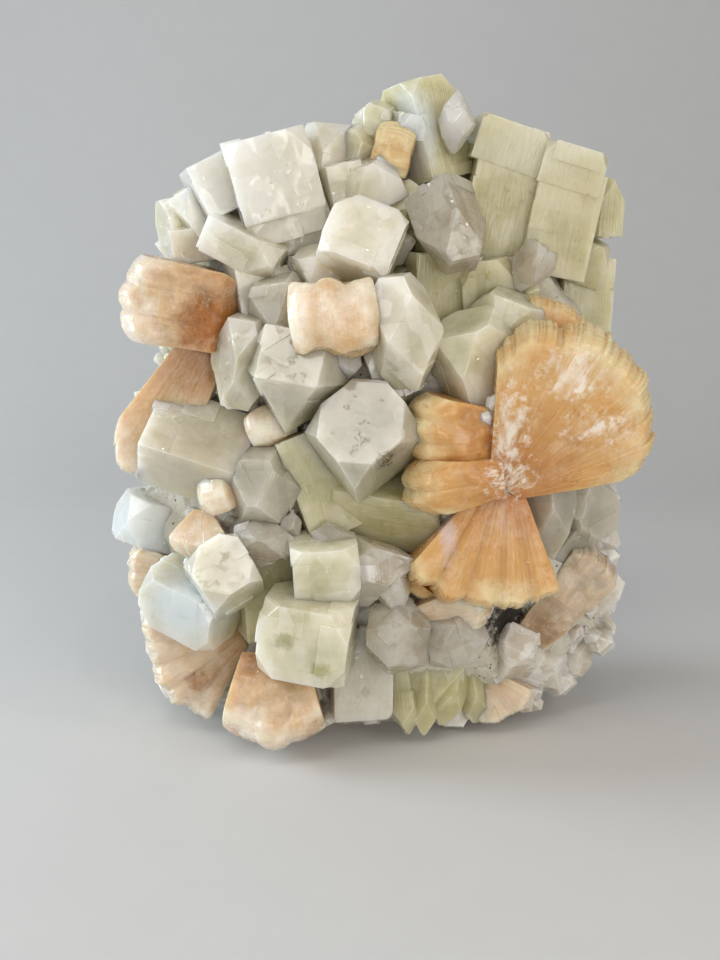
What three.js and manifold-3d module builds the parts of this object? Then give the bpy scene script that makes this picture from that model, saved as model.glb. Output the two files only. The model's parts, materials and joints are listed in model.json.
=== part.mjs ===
// Apophyllite cluster: blocky apophyllite crystals and peach stilbite sheaves on a basalt matrix.
// Millimetres, +Z up. The origin is the middle of the flat base, and the crystal-covered front faces -Y.
//
// Every solid is bounded by flat faces. A crystal and a rock lump are each one convex set of planes
// {normal, reach}, a stilbite lobe is a closed skin over its fan of blades, and a piece is the union of the
// bodies that grew together.
import * as THREE from 'three';
import { ConvexGeometry } from 'three/addons/geometries/ConvexGeometry.js';
import { mergeVertices } from 'three/addons/utils/BufferGeometryUtils.js';
import Module from 'manifold-3d';

const wasm = await Module();
wasm.setup();

// ---------------------------------------------------------------- driving dimensions

const CLEARANCE = 0.35; // gap between pieces that grew against each other
const PYRAMID_ANGLE = 60.5; // degrees between the c axis and a pyramid face's normal in apophyllite
const FACE_JITTER = 0.05; // how unevenly the faces of one crystal have grown, as a share of its size
const FULLEST = 0.55; // where a stilbite lobe's faces swell most, as a share of its length
const RING = 5; // points round a lobe at each edge and ridge of its blades, from front to back
const RIM_UNEVEN = 0.05; // how unevenly the blades reach the rim, as a share of the length
const CREST_UNEVEN = 0.2; // how far the rim's crest strays from the middle, as a share of the half depth
const ROCK_FACES = 16; // planes on each lump of the matrix
const ROCK_ROUGHNESS = 0.07; // how far those planes move in and out, as a share of the lump's reach
const ROCK_STAGGER = 0.08; // how far the planes stray from even heights, as a share of the lump's reach
const ROCK_TWIST = 0.5; // how far they stray from even headings, in radians
const SLIVER = 0.04; // edges shorter than this are left out where pieces meet
const WELD = 1e-4; // points closer than this are one point
const NEAR = 1e-5; // a point this close to a plane is still inside it
const SAME = 1e-3; // corners of one body closer than this are one corner
const FLAT = 1e-4; // three planes whose normals span less than this have no corner

const SCATTER = { seed: 12.9898, place: 78.233, size: 43758.5453 }; // numbers that scatter the draws well
const CRYSTAL_SEED = [0.37, 0.73, 0.19]; // what a crystal's place weighs in its seed
const LOBE_SEED = [1, 0.61, 0.27]; // the same for a lobe
const CREST_DRAWS = 30; // first draw for the crests of a lobe
const HEADING_DRAWS = 60; // first draw for the headings of a rock's planes
const REACH_DRAWS = 120; // first draw for their reaches

const DEGREE = Math.PI / 180;
const GOLDEN_ANGLE = Math.PI * (3 - Math.sqrt(5)); // turns that never line up

// ---------------------------------------------------------------- planes and solids

// A repeatable number from 0 to 1 for a seed and a place in a list.
function chance(seed, place) {
  const wave = Math.sin(seed * SCATTER.seed + place * SCATTER.place) * SCATTER.size;
  return wave - Math.floor(wave);
}

// A seed that only a body at this place has.
function seedAt([x, y, z], [alongX, alongY, alongZ]) {
  return x * alongX + y * alongY + z * alongZ;
}

// The turn that takes +Z to a crystal's c axis: lean tips it to +X, nod to the front, spin turns about it.
function turnOf([lean, nod, spin]) {
  const about = (axis, angle) => new THREE.Matrix4().makeRotationAxis(axis, angle * DEGREE);
  return about(new THREE.Vector3(0, 1, 0), lean)
    .multiply(about(new THREE.Vector3(1, 0, 0), nod))
    .multiply(about(new THREE.Vector3(0, 0, 1), spin));
}

// Moves planes from a crystal's own axes to the part's frame.
function placed(planes, turn, at) {
  const centre = new THREE.Vector3(...at);
  return planes.map(({ normal, reach }) => {
    const turned = normal.clone().transformDirection(turn);
    return { normal: turned, reach: reach + turned.dot(centre) };
  });
}

// A plane from any vector along its normal and a point on it.
function plane(x, y, z, point) {
  const normal = new THREE.Vector3(x, y, z).normalize();
  return { normal, reach: normal.dot(point) };
}

// The corners of the space inside all the planes, each moved out by grow.
function corners(planes, grow) {
  const found = [];
  const inside = (point) => planes.every(({ normal, reach }) => normal.dot(point) <= reach + grow + NEAR);
  for (let i = 0; i < planes.length; i++) {
    for (let j = i + 1; j < planes.length; j++) {
      const across = new THREE.Vector3().crossVectors(planes[i].normal, planes[j].normal);
      for (let k = j + 1; k < planes.length; k++) {
        const volume = across.dot(planes[k].normal);
        if (Math.abs(volume) < FLAT) continue;
        const point = new THREE.Vector3().crossVectors(planes[j].normal, planes[k].normal)
          .multiplyScalar(planes[i].reach + grow)
          .addScaledVector(
            new THREE.Vector3().crossVectors(planes[k].normal, planes[i].normal),
            planes[j].reach + grow,
          )
          .addScaledVector(across, planes[k].reach + grow)
          .divideScalar(volume);
        const known = found.some((other) => other.distanceTo(point) < SAME);
        if (!known && inside(point)) found.push(point);
      }
    }
  }
  return found;
}

function solidOf(geometry) {
  const merged = geometry.clone();
  merged.deleteAttribute('normal');
  merged.deleteAttribute('uv');
  const welded = mergeVertices(merged, WELD);
  return new wasm.Manifold(new wasm.Mesh({
    numProp: 3,
    vertProperties: new Float32Array(welded.attributes.position.array),
    triVerts: new Uint32Array(welded.index.array),
  }));
}

// The union of bodies that grew together.
function solidFrom(bodies) {
  const solids = bodies.map((body) => solidOf(body.shape(0)));
  return solids.length === 1 ? solids[0] : wasm.Manifold.union(solids);
}

// The room they need: each body in a convex wrapping that clears it all round.
function roomFor(bodies) {
  return wasm.Manifold.union(bodies.map((body) => solidOf(body.wrapping(CLEARANCE))));
}

// A convex body inside planes.
function convex(planes) {
  const shape = (grow) => new ConvexGeometry(corners(planes, grow));
  return { shape, wrapping: shape };
}

// The outer skin of a solid's biggest part, with nothing left of crumbs or of closed pockets inside.
function skinOf(solid) {
  const { vertProperties, triVerts, numProp } = solid.getMesh();
  const count = vertProperties.length / numProp;
  const head = Int32Array.from({ length: count }, (_, i) => i);
  const headOf = (i) => {
    while (head[i] !== i) i = head[i] = head[head[i]];
    return i;
  };
  for (let t = 0; t < triVerts.length; t += 3) {
    head[headOf(triVerts[t])] = headOf(triVerts[t + 1]);
    head[headOf(triVerts[t + 1])] = headOf(triVerts[t + 2]);
  }
  const corner = (i) => new THREE.Vector3().fromArray(vertProperties, i * numProp);
  const volumes = new Map();
  for (let t = 0; t < triVerts.length; t += 3) {
    const [a, b, c] = [0, 1, 2].map((k) => corner(triVerts[t + k]));
    const key = headOf(triVerts[t]);
    volumes.set(key, (volumes.get(key) ?? 0) + a.dot(b.cross(c)));
  }
  const [biggest] = [...volumes.entries()].reduce((best, next) => (next[1] > best[1] ? next : best));
  const place = new Map();
  const positions = [];
  const index = [];
  triVerts.forEach((vertex) => {
    if (headOf(vertex) !== biggest) return;
    if (!place.has(vertex)) {
      place.set(vertex, place.size);
      positions.push(...corner(vertex).toArray());
    }
    index.push(place.get(vertex));
  });
  const geometry = new THREE.BufferGeometry();
  geometry.setAttribute('position', new THREE.Float32BufferAttribute(positions, 3));
  geometry.setIndex(index);
  return geometry;
}

// ---------------------------------------------------------------- apophyllite

// The planes of one apophyllite crystal about its own centre: a square prism, flat ends, and at each end
// four pyramid faces that cut the corners. An end cut of 0 leaves the corners, and 1 makes a full point.
function crystalPlanes([across, deep, long], [topCut, bottomCut], seed) {
  const slope = Math.tan(PYRAMID_ANGLE * DEGREE) / Math.SQRT2;
  const grown = (size, place) => size * (1 + FACE_JITTER * (2 * chance(seed, place) - 1));
  const planes = [
    plane(1, 0, 0, new THREE.Vector3(grown(across, 1), 0, 0)),
    plane(-1, 0, 0, new THREE.Vector3(-grown(across, 2), 0, 0)),
    plane(0, 1, 0, new THREE.Vector3(0, grown(deep, 3), 0)),
    plane(0, -1, 0, new THREE.Vector3(0, -grown(deep, 4), 0)),
    plane(0, 0, 1, new THREE.Vector3(0, 0, long)),
    plane(0, 0, -1, new THREE.Vector3(0, 0, -long)),
  ];
  [[1, topCut], [-1, bottomCut]].forEach(([end, cut]) => {
    if (cut === 0) return;
    const apex = long + slope * (across + deep) * (1 - cut);
    [[1, 1], [-1, 1], [-1, -1], [1, -1]].forEach(([sideX, sideY], place) => {
      const point = new THREE.Vector3(0, 0, end * grown(apex, 5 + place + 4 * end));
      planes.push(plane(slope * sideX, slope * sideY, end, point));
    });
  });
  return planes;
}

// A crystal with the parallel steps that grew on it. Each step is a shift along the crystal's own axes,
// and half sizes of its own.
function crystal(at, half, tilt, cuts = [0.3, 0], steps = []) {
  const turn = turnOf(tilt);
  const seed = seedAt(at, CRYSTAL_SEED);
  const bodies = [convex(placed(crystalPlanes(half, cuts, seed), turn, at))];
  steps.forEach(([shift, stepHalf], place) => {
    const middle = new THREE.Vector3(...shift).applyMatrix4(turn).add(new THREE.Vector3(...at));
    const planes = crystalPlanes(stepHalf, cuts, seed + place + 1);
    bodies.push(convex(placed(planes, turn, middle.toArray())));
  });
  return bodies;
}

// ---------------------------------------------------------------- stilbite

// One lobe of a stilbite sheaf: blades that spread from a waist like the pages of an open book. Its faces
// swell between the waist and the rim, with a shallow groove between blades, and the rim has a notch between
// blades and a gable along it. The turn's +Z runs along the middle of the lobe, and the blades swing about Y.
function lobe({
  at, tilt, length, fan, blades, root,
  flare = 8, gable = 26, bow = 0.3, notch = 0.03, groove = 0.5, swell = 0.8,
}) {
  const turn = turnOf(tilt).setPosition(...at);
  const seed = seedAt(at, LOBE_SEED);
  const stations = 2 * blades + 1;
  const thicken = Math.tan(flare * DEGREE);
  const rise = Math.tan(gable * DEGREE);

  const pointsFor = (grow) => {
    const [rootAcross, rootDeep] = root.map((size) => size + grow);
    const points = [
      [-rootAcross, -rootDeep, -grow], [-rootAcross, rootDeep, -grow],
      [rootAcross, -rootDeep, -grow], [rootAcross, rootDeep, -grow],
    ];
    for (let i = 0; i < stations; i++) {
      const place = (2 * i) / (stations - 1) - 1;
      const ridge = i % 2;
      const uneven = ridge * RIM_UNEVEN * (2 * chance(seed, i) - 1);
      const reach = length * (1 - bow * place * place) * (1 - notch * (1 - ridge) + uneven) + grow;
      const deep = rootDeep + reach * thicken - groove * (1 - ridge);
      const full = rootDeep + (deep - rootDeep) * FULLEST + swell * (1 - 0.5 * place * place);
      const swing = fan * place * DEGREE + Math.sign(place) * (grow / reach);
      const crest = reach + deep * rise;
      const off = CREST_UNEVEN * deep * (2 * chance(seed, i + CREST_DRAWS) - 1);
      const foot = rootAcross * place;
      const point = (out, depth) => [foot + out * Math.sin(swing), depth, out * Math.cos(swing)];
      points.push(point(FULLEST * reach, -full), point(reach, -deep), point(crest, off));
      points.push(point(reach, deep), point(FULLEST * reach, full));
    }
    return points.map((point) => new THREE.Vector3(...point).applyMatrix4(turn));
  };

  const faces = [];
  const face = (...ring) => {
    for (let i = 2; i < ring.length; i++) faces.push(ring[0], ring[i - 1], ring[i]);
  };
  const first = (i) => 4 + RING * i;
  const last = stations - 1;
  for (let i = 0; i < last; i++) {
    const apex = i < last / 2 ? 0 : 2;
    face(apex, first(i + 1), first(i));
    for (let k = 0; k < RING - 1; k++) {
      face(first(i) + k, first(i + 1) + k, first(i + 1) + k + 1, first(i) + k + 1);
    }
    face(apex + 1, first(i) + RING - 1, first(i + 1) + RING - 1);
  }
  const ring = (i) => Array.from({ length: RING }, (_, k) => first(i) + k);
  face(0, 2, first(last / 2));
  face(3, 1, first(last / 2) + RING - 1);
  face(0, ...ring(0), 1);
  face(2, 3, ...ring(last).reverse());
  face(0, 1, 3, 2);

  const shape = (grow) => {
    const geometry = new THREE.BufferGeometry();
    geometry.setAttribute('position', new THREE.Float32BufferAttribute(
      pointsFor(grow).flatMap((point) => point.toArray()),
      3,
    ));
    geometry.setIndex(faces);
    return geometry;
  };
  return [{ shape, wrapping: (grow) => new ConvexGeometry(pointsFor(grow)) }];
}

// ---------------------------------------------------------------- matrix

// A lump of rock: planes round an ellipsoid, moved in and out by chance, and flat where it meets z = 0.
function rock(at, reach, seed) {
  const planes = [];
  for (let i = 0; i < ROCK_FACES; i++) {
    const height = 1 - (2 * (i + 0.5)) / ROCK_FACES + ROCK_STAGGER * (chance(seed, i) - 0.5);
    const round = Math.sqrt(Math.max(0, 1 - height * height));
    const heading = i * GOLDEN_ANGLE + seed + ROCK_TWIST * chance(seed, i + HEADING_DRAWS);
    const normal = new THREE.Vector3(round * Math.cos(heading), round * Math.sin(heading), height);
    normal.normalize();
    const support = new THREE.Vector3(...reach).multiply(normal).length();
    const uneven = 1 + ROCK_ROUGHNESS * (2 * chance(seed, i + REACH_DRAWS) - 1);
    planes.push({ normal, reach: support * uneven + normal.dot(new THREE.Vector3(...at)) });
  }
  planes.push({ normal: new THREE.Vector3(0, 0, -1), reach: 0 });
  return convex(planes);
}

// ---------------------------------------------------------------- colours

const paint = (color, roughness) => new THREE.MeshStandardMaterial({ color, roughness, metalness: 0 });
const MILKY = paint(0xdcdfda, 0.3);
const GREEN = paint(0xb9bf94, 0.28);
const YELLOW = paint(0xd3d0a2, 0.32);
const GLASSY = paint(0xd9d3c6, 0.12);
const PEACH = paint(0xe2a768, 0.5);
const PALE = paint(0xead2b2, 0.55);
const BASALT = paint(0x77706a, 0.9);

// ---------------------------------------------------------------- the pieces, front to back

// crystal(middle, [half across, half deep, half long], [lean, nod, spin], [top cut, bottom cut], steps)
const pieces = [
  ['apophyllite_centre_tip', MILKY, crystal([-2.5, -31, 90.5], [11.5, 10.5, 10], [-8, 58, 32], [0.3, 0])],

  ['apophyllite_centre', MILKY, [
    ...crystal([7.3, -31, 117.5], [8, 7.6, 14.5], [-8, 6, 24], [0.72, 0.72]),
    ...crystal([3.5, -21, 108], [6, 8, 8], [-18, 0, 12], [0.3, 0]),
  ]],

  ['apophyllite_centre_left', MILKY, [
    ...crystal([-20.5, -29, 107.5], [11, 10.5, 9], [-6, 62, 28], [0.5, 0]),
    ...crystal([-34.5, -24, 109], [5.6, 7, 12], [8, 8, 32], [0.6, 0.6]),
    ...crystal([-24, -20, 122], [8, 7.5, 9], [-14, 14, 32], [0.6, 0]),
  ]],

  ['apophyllite_lower_cube', YELLOW, crystal([-16.9, -35, 37.5], [11.6, 10, 10.3], [7, 4, -9], [0.24, 0.24])],

  ['apophyllite_lower_yellow', YELLOW, crystal([-12.8, -31, 54.5], [8.6, 8, 8], [-2, 8, 6], [0.22, 0.2])],

  ['apophyllite_lower_left', MILKY, [
    ...crystal([-39.8, -34, 53.4], [7.6, 7.6, 8], [4, 56, 38], [0.3, 0]),
    ...crystal([-50, -23, 42.5], [12.4, 8.5, 8], [9, 18, -28], [0.2, 0.2]),
  ]],

  ['stilbite_centre', PEACH, lobe({
    at: [-10, -21, 118], tilt: [-2, 76, 4], length: 18, fan: 14, blades: 3,
    root: [7, 7.4], flare: 6, gable: 26, bow: 0.18, groove: 0.4, swell: 1,
  })],

  ['stilbite_right_bow_tie', PEACH, [
    ...lobe({
      at: [34.5, -27, 77.5], tilt: [40, 4, 0], length: 43, fan: 38, blades: 4,
      root: [5, 6.5], flare: 5, gable: 28, bow: 0.34, groove: 0.6, swell: 1.6,
    }),
    ...lobe({
      at: [32.5, -26, 90.5], tilt: [-85, 6, 0], length: 20.5, fan: 8, blades: 3,
      root: [6.6, 6.5], flare: 5, gable: 28, bow: 0.22, groove: 0.5, swell: 1.2,
    }),
    ...lobe({
      at: [33, -27.5, 79.5], tilt: [-97, 8, 0], length: 21.5, fan: 7, blades: 2,
      root: [5.2, 7], flare: 5, gable: 28, bow: 0.24, groove: 0.6, swell: 1.4,
    }),
    ...lobe({
      at: [33.5, -27, 75], tilt: [-170, 6, 0], length: 29.5, fan: 31, blades: 5,
      root: [6.5, 6], flare: 7, gable: 22, bow: 0.12, groove: 1.5, swell: 0.8,
    }),
  ]],

  ['apophyllite_lower_glassy', GLASSY, [
    ...crystal([2.5, -30, 54.5], [7.4, 7.4, 9.8], [74, 22, 30], [0.9, 0]),
    ...crystal([5.4, -31, 47.5], [4.2, 4.2, 6], [170, 16, 24], [0.85, 0]),
  ]],

  ['apophyllite_lower_clear', GLASSY, crystal([6.8, -31, 35.5], [8.4, 7.5, 9], [-32, 22, 24], [0.62, 0.5])],

  ['apophyllite_centre_top', MILKY, [
    ...crystal([-2.6, -22, 139.5], [9.6, 8.6, 8.5], [8, 64, -14], [0.22, 0]),
    ...crystal([-15.5, -18, 133.5], [4.2, 6, 4.6], [-20, 20, 20], [0.4, 0]),
  ]],

  ['apophyllite_right_pale', YELLOW, [
    ...crystal([27, -22, 110.5], [9.6, 8.5, 10], [-20, 18, 24], [0.4, 0]),
    ...crystal([37, -14, 119], [9, 8, 7], [18, 14, 30], [0.4, 0]),
  ]],

  ['apophyllite_included', GLASSY, crystal([21.6, -28, 35.5], [8.6, 7, 6.4], [-14, 14, 14], [0.5, 0.3])],

  ['apophyllite_left_round', MILKY, crystal([-29.5, -25.5, 76.5], [8, 7.6, 9], [-6, 16, 30], [0.6, 0.5])],

  ['apophyllite_upper_left', MILKY, [
    ...crystal([-27.3, -10.5, 157.4], [11, 11, 10.6], [-14, 6, 8], [0.3, 0], [
      [[0.5, 2, -8.5], [10.6, 11, 8]],
      [[3.5, 4, -13], [8.6, 10, 8]],
    ]),
    ...crystal([-41.5, -7, 155], [7.2, 8, 7.4], [-26, 4, 16], [0, 0]),
    ...crystal([-34, -15, 139], [4.8, 7, 10.5], [117, 8, 12], [0.4, 0]),
    ...crystal([-32, -13, 127], [6, 7, 9], [-8, 0, 20], [0.2, 0]),
  ]],

  ['apophyllite_hanging', GLASSY, crystal([20.2, -17, 143.5], [6.8, 6.8, 11], [161, 26, 30], [0.62, 0])],

  ['apophyllite_left_striated', MILKY, crystal([-48, -16, 83.5], [9.8, 9.8, 14], [107, 4, 45], [0.12, 0.1])],

  ['apophyllite_lower_middle', GREEN, [
    ...crystal([-14.5, -17, 76], [9.4, 9, 14.5], [-20, 0, 16], [0, 0]),
    ...crystal([4.6, -18, 69], [9, 9, 14.5], [98, 8, 28], [0.3, 0]),
  ]],

  ['apophyllite_left_edge_bright', MILKY, crystal([-62.5, -5, 61], [10, 8, 6.8], [20, 0, 24], [0.3, 0.3])],

  ['apophyllite_small_long', GLASSY, crystal([-29.2, -29, 61.2], [4.7, 4.7, 8], [98, 6, 30], [0.62, 0.6])],
  ['apophyllite_small_stub', GLASSY, crystal([-22.4, -28, 65.5], [2.7, 2.7, 4.2], [20, 30, 20], [0.8, 0])],
  ['apophyllite_small_pointed', GLASSY, crystal([-10.2, -29, 62], [3.4, 3.4, 5.6], [84, 10, 45], [0.9, 0.5])],

  ['apophyllite_lower_green_back', GREEN, crystal([-31, -18, 45], [7, 8, 13], [-4, 0, 20], [0.2, 0])],

  ['apophyllite_lower_prism', MILKY, crystal([-4.2, -21, 22.5], [8.2, 8, 13.2], [0, -4, 10], [0, 0.1])],

  ['apophyllite_right_tip', MILKY, [
    ...crystal([48.6, -19, 63.5], [6.6, 6.4, 10], [172, 6, 40], [0.95, 0]),
    ...crystal([60, -8, 66.5], [7.4, 7, 8], [-18, 8, 30], [0.4, 0.3]),
    ...crystal([57, -10, 57], [4, 5, 7], [36, 0, 20], [0.4, 0]),
  ]],

  ['apophyllite_lower_right_sparkle', GLASSY, [
    ...crystal([40.8, -17, 26.2], [5.6, 5.6, 6.5], [14, 42, 30], [0.5, 0]),
    ...crystal([33.5, -14, 24], [4, 5, 7], [-30, 10, 20], [0.4, 0]),
    ...crystal([49, -9, 20], [8, 5, 5], [28, 26, 16], [0.5, 0]),
  ]],

  ['apophyllite_lower_spikes', GREEN, [
    ...crystal([9.2, -22, 13], [3.6, 3.6, 10], [172, 10, 20], [0.95, 0]),
    ...crystal([14.6, -21, 13], [4, 4, 10.5], [180, 14, 42], [0.95, 0]),
    ...crystal([21, -19, 16], [5.5, 5, 11.5], [187, 8, 30], [0.9, 0]),
    ...crystal([17, -17, 21], [10, 8, 9], [182, 4, 10], [0.5, 0]),
    ...crystal([29, -15, 12], [4.4, 4.4, 8.5], [168, 8, 36], [0.8, 0]),
  ]],

  ['stilbite_lower_lump', PEACH, lobe({
    at: [-27, -24, 27.5], tilt: [180, 24, 0], length: 20.5, fan: 16, blades: 3,
    root: [8.6, 8], flare: 8, gable: 26, bow: 0.2, groove: 0.8, swell: 1.5,
  })],

  ['stilbite_left_bow_tie', PEACH, [
    ...lobe({
      at: [-36.5, -14, 121], tilt: [-80, 8, 0], length: 28, fan: 2, blades: 3,
      root: [10.4, 7.5], flare: 4, gable: 24, bow: 0.12, groove: 0.8, swell: 2,
    }),
    ...lobe({
      at: [-45, -11, 113], tilt: [-149, 0, 0], length: 41, fan: 8, blades: 2,
      root: [6.4, 5], flare: 4, gable: 24, bow: 0.25, groove: 0.7, swell: 1,
    }),
  ]],

  ['stilbite_lower_right_blade', PALE, lobe({
    at: [46, -9, 28], tilt: [37, 4, 0], length: 31, fan: 5, blades: 2,
    root: [5.4, 5], flare: 3, gable: 18, bow: 0.06, groove: 0.6, swell: 0.6,
  })],

  ['stilbite_behind_top', PEACH, lobe({
    at: [44, -13, 106], tilt: [16, 4, 0], length: 17.5, fan: 34, blades: 2,
    root: [3, 4], flare: 6, gable: 24, bow: 0.14,
  })],

  ['stilbite_lower_left_blades', PALE, lobe({
    at: [-38, -11, 30], tilt: [-118, 6, 0], length: 25, fan: 34, blades: 5,
    root: [4, 5], flare: 7, gable: 24, bow: 0.08, groove: 1.2,
  })],

  ['stilbite_lens', PALE, lobe({
    at: [12, -26, 40], tilt: [78, 8, 0], length: 18, fan: 16, blades: 1,
    root: [3, 4.6], flare: 3, gable: 30, bow: 0.2,
  })],

  ['stilbite_amber_chunk', PEACH, lobe({
    at: [16, -24, 56], tilt: [176, 8, 10], length: 11, fan: 28, blades: 2,
    root: [2.6, 4], flare: 5, gable: 20, bow: 0.15,
  })],

  ['stilbite_cream_small', PALE, lobe({
    at: [-45.5, -20, 66], tilt: [186, 38, 20], length: 11, fan: 36, blades: 2,
    root: [2.6, 4], flare: 8, gable: 20, bow: 0.12,
  })],

  ['stilbite_left_lump', PEACH, lobe({
    at: [-36.5, -17, 74], tilt: [-70, 40, 30], length: 11, fan: 36, blades: 2,
    root: [2.8, 4.6], flare: 8, gable: 20, bow: 0.12,
  })],

  ['stilbite_middle_small', PEACH, lobe({
    at: [-27.5, -16, 89], tilt: [0, 66, 20], length: 9, fan: 30, blades: 1,
    root: [2.4, 4], flare: 6, gable: 18, bow: 0.12,
  })],

  ['stilbite_top_small', PEACH, lobe({
    at: [5, 2, 161], tilt: [4, 70, 80], length: 12, fan: 26, blades: 2,
    root: [2.6, 4], flare: 6, gable: 20, bow: 0.12,
  })],

  ['stilbite_left_edge_bit', PALE, lobe({
    at: [-56, -6, 47], tilt: [-88, 8, 0], length: 13, fan: 30, blades: 2,
    root: [2.6, 4], flare: 6, gable: 22, bow: 0.12,
  })],

  ['stilbite_bottom_small', PALE, lobe({
    at: [33, -12, 17], tilt: [146, 10, 0], length: 13, fan: 30, blades: 2,
    root: [3, 4], flare: 6, gable: 20, bow: 0.12,
  })],

  ['apophyllite_top_glassy', GLASSY, crystal([22.6, -2.5, 171.9], [4.1, 4.6, 8.3], [4, 4, 22], [0.95, 0.9])],

  ['apophyllite_top_small', YELLOW, [
    ...crystal([1, 2, 171.5], [5.6, 6, 5.8], [18, 22, 30], [0.62, 0.5]),
    ...crystal([-4.3, -2, 166.5], [4.8, 5.5, 4.4], [-22, 22, 12], [0.7, 0]),
  ]],

  ['apophyllite_top_striated', GREEN, [
    ...crystal([14.5, 6.5, 170], [8, 8, 13.5], [-15, 0, 38], [0.3, 0]),
    ...crystal([9.4, -2, 170.5], [3.8, 4.2, 3.2], [10, 0, 20], [0.3, 0]),
  ]],

  ['apophyllite_upper_right', GREEN, [
    ...crystal([36.9, 7.5, 166.4], [9.4, 10.5, 6], [18, 2, 3], [0.12, 0]),
    ...crystal([54.4, 6, 159.8], [8.9, 10.5, 5.6], [16, 2, 2], [0.12, 0]),
    ...crystal([34.8, 9, 148], [9, 12, 15.5], [10, 0, 4], [0, 0]),
    ...crystal([52, 8.6, 145], [9, 12, 14.5], [11, 0, 3], [0, 0]),
  ]],

  ['apophyllite_top_grey', MILKY, [
    ...crystal([-9.4, -4.5, 154], [5, 8, 7], [-12, 8, 18], [0, 0]),
    ...crystal([-1.4, -6, 155.5], [7.4, 8, 6], [-22, 14, 10], [0.4, 0]),
    ...crystal([-11.5, 3, 163.5], [8, 9, 7], [8, -8, 34], [0.4, 0]),
  ]],

  ['apophyllite_left_edge_small', MILKY, [
    ...crystal([-47, -4, 149.5], [7.4, 7, 6.4], [-34, 8, 20], [0.4, 0]),
    ...crystal([-54, -1, 146], [4.4, 6, 6], [-12, 0, 30], [0.4, 0]),
    ...crystal([-49, -5, 140], [7.4, 6, 4.6], [-6, 10, 16], [0, 0]),
  ]],

  ['apophyllite_small_clear_right', GLASSY, crystal([43, -10, 133], [4, 4, 6.8], [32, 8, 32], [0.3, 0.8])],

  ['apophyllite_right_edge', GREEN, [
    ...crystal([65, 10, 149.5], [4.4, 6.2, 8], [2, 0, 28], [0.5, 0]),
    ...crystal([61.5, 9, 135], [4.6, 6, 6], [20, 14, 12], [0.4, 0]),
    ...crystal([60.6, 13, 123], [7.8, 7, 12.5], [3, -4, 12], [0, 0.2]),
  ]],

  ['apophyllite_green_middle', GREEN, [
    ...crystal([18, -4, 127], [9.4, 8, 9.5], [4, 0, 18], [0, 0]),
    ...crystal([30.6, -3, 126], [7.2, 8, 9.5], [-6, 4, 10], [0.3, 0]),
    ...crystal([50.5, 3, 127], [8.4, 8, 11], [8, 0, 24], [0, 0]),
  ]],

  ['apophyllite_brown_glassy', GLASSY, crystal([16.5, -12, 101], [7.4, 7, 9], [20, 0, 10], [0, 0])],

  // crystals that line the sides and the top edge
  ['apophyllite_side_left_upper', MILKY, [
    ...crystal([-50, 14, 122], [9, 8, 9], [-58, -4, 30], [0.4, 0]),
    ...crystal([-54, 18, 136], [6, 6, 7], [-40, -16, 10], [0, 0]),
  ]],
  ['apophyllite_side_left_lower', MILKY, [
    ...crystal([-54, 14, 78], [8.5, 8, 9], [-82, -10, 24], [0.4, 0]),
    ...crystal([-56, 10, 96], [6.5, 6, 8], [-66, 4, 40], [0.5, 0]),
  ]],
  ['apophyllite_side_right', GREEN, [
    ...crystal([62, 20, 98], [8.5, 8, 9], [84, -6, 20], [0.4, 0]),
    ...crystal([62, 14, 84], [6.5, 6, 8], [96, 6, 38], [0.5, 0]),
  ]],
  ['apophyllite_top_back', MILKY, [
    ...crystal([-32, 18, 154], [9, 8, 9], [-24, -30, 22], [0.4, 0]),
    ...crystal([-16, 22, 160], [7, 7, 8], [-8, -34, 40], [0, 0]),
  ]],
];

// rock(middle, reach across, deep and up, seed)
const matrixLumps = [
  rock([2, 7, 22], [50, 26, 27], 1),
  rock([-24, 5, 60], [38, 26, 34], 2),
  rock([30, 8, 60], [38, 26, 34], 3),
  rock([-18, 7, 104], [39, 24, 36], 4),
  rock([30, 12, 104], [36, 22, 34], 5),
  rock([-4, 14, 138], [36, 16, 25], 6),
  rock([30, 19, 142], [28, 14, 22], 7),
  rock([47, 7, 33], [19, 18, 24], 8),
  rock([-42, 7, 34], [21, 20, 25], 9),
];

// ---------------------------------------------------------------- assembly

const cluster = new THREE.Group();
cluster.name = 'apophyllite_cluster';

function addMesh(name, material, solid) {
  const mesh = new THREE.Mesh(skinOf(solid), material);
  mesh.name = name;
  cluster.add(mesh);
}

// The crystals stand on the matrix, and each piece is cut back to clear the ones in front of it.
addMesh('matrix', BASALT, solidFrom(matrixLumps).simplify(SLIVER));
let taken = roomFor(matrixLumps);
for (const [name, material, bodies] of pieces) {
  addMesh(name, material, solidFrom(bodies).subtract(taken).simplify(SLIVER));
  taken = taken.add(roomFor(bodies));
}

export default cluster;
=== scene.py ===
"""Apophyllite cluster: the looks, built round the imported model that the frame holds.

The tables are in millimetres, +Z up, with the crystals facing -Y. What is made in Blender is in metres.
A crystal is a convex set of planes, a stilbite lobe is a fan of blades, and a piece is the union of what
grew together. Each piece is cut back from the ones in front of it.
"""
import json
import math
from itertools import combinations

import bmesh
import bpy
import numpy as np
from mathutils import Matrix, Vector, noise
from mathutils.bvhtree import BVHTree

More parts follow.
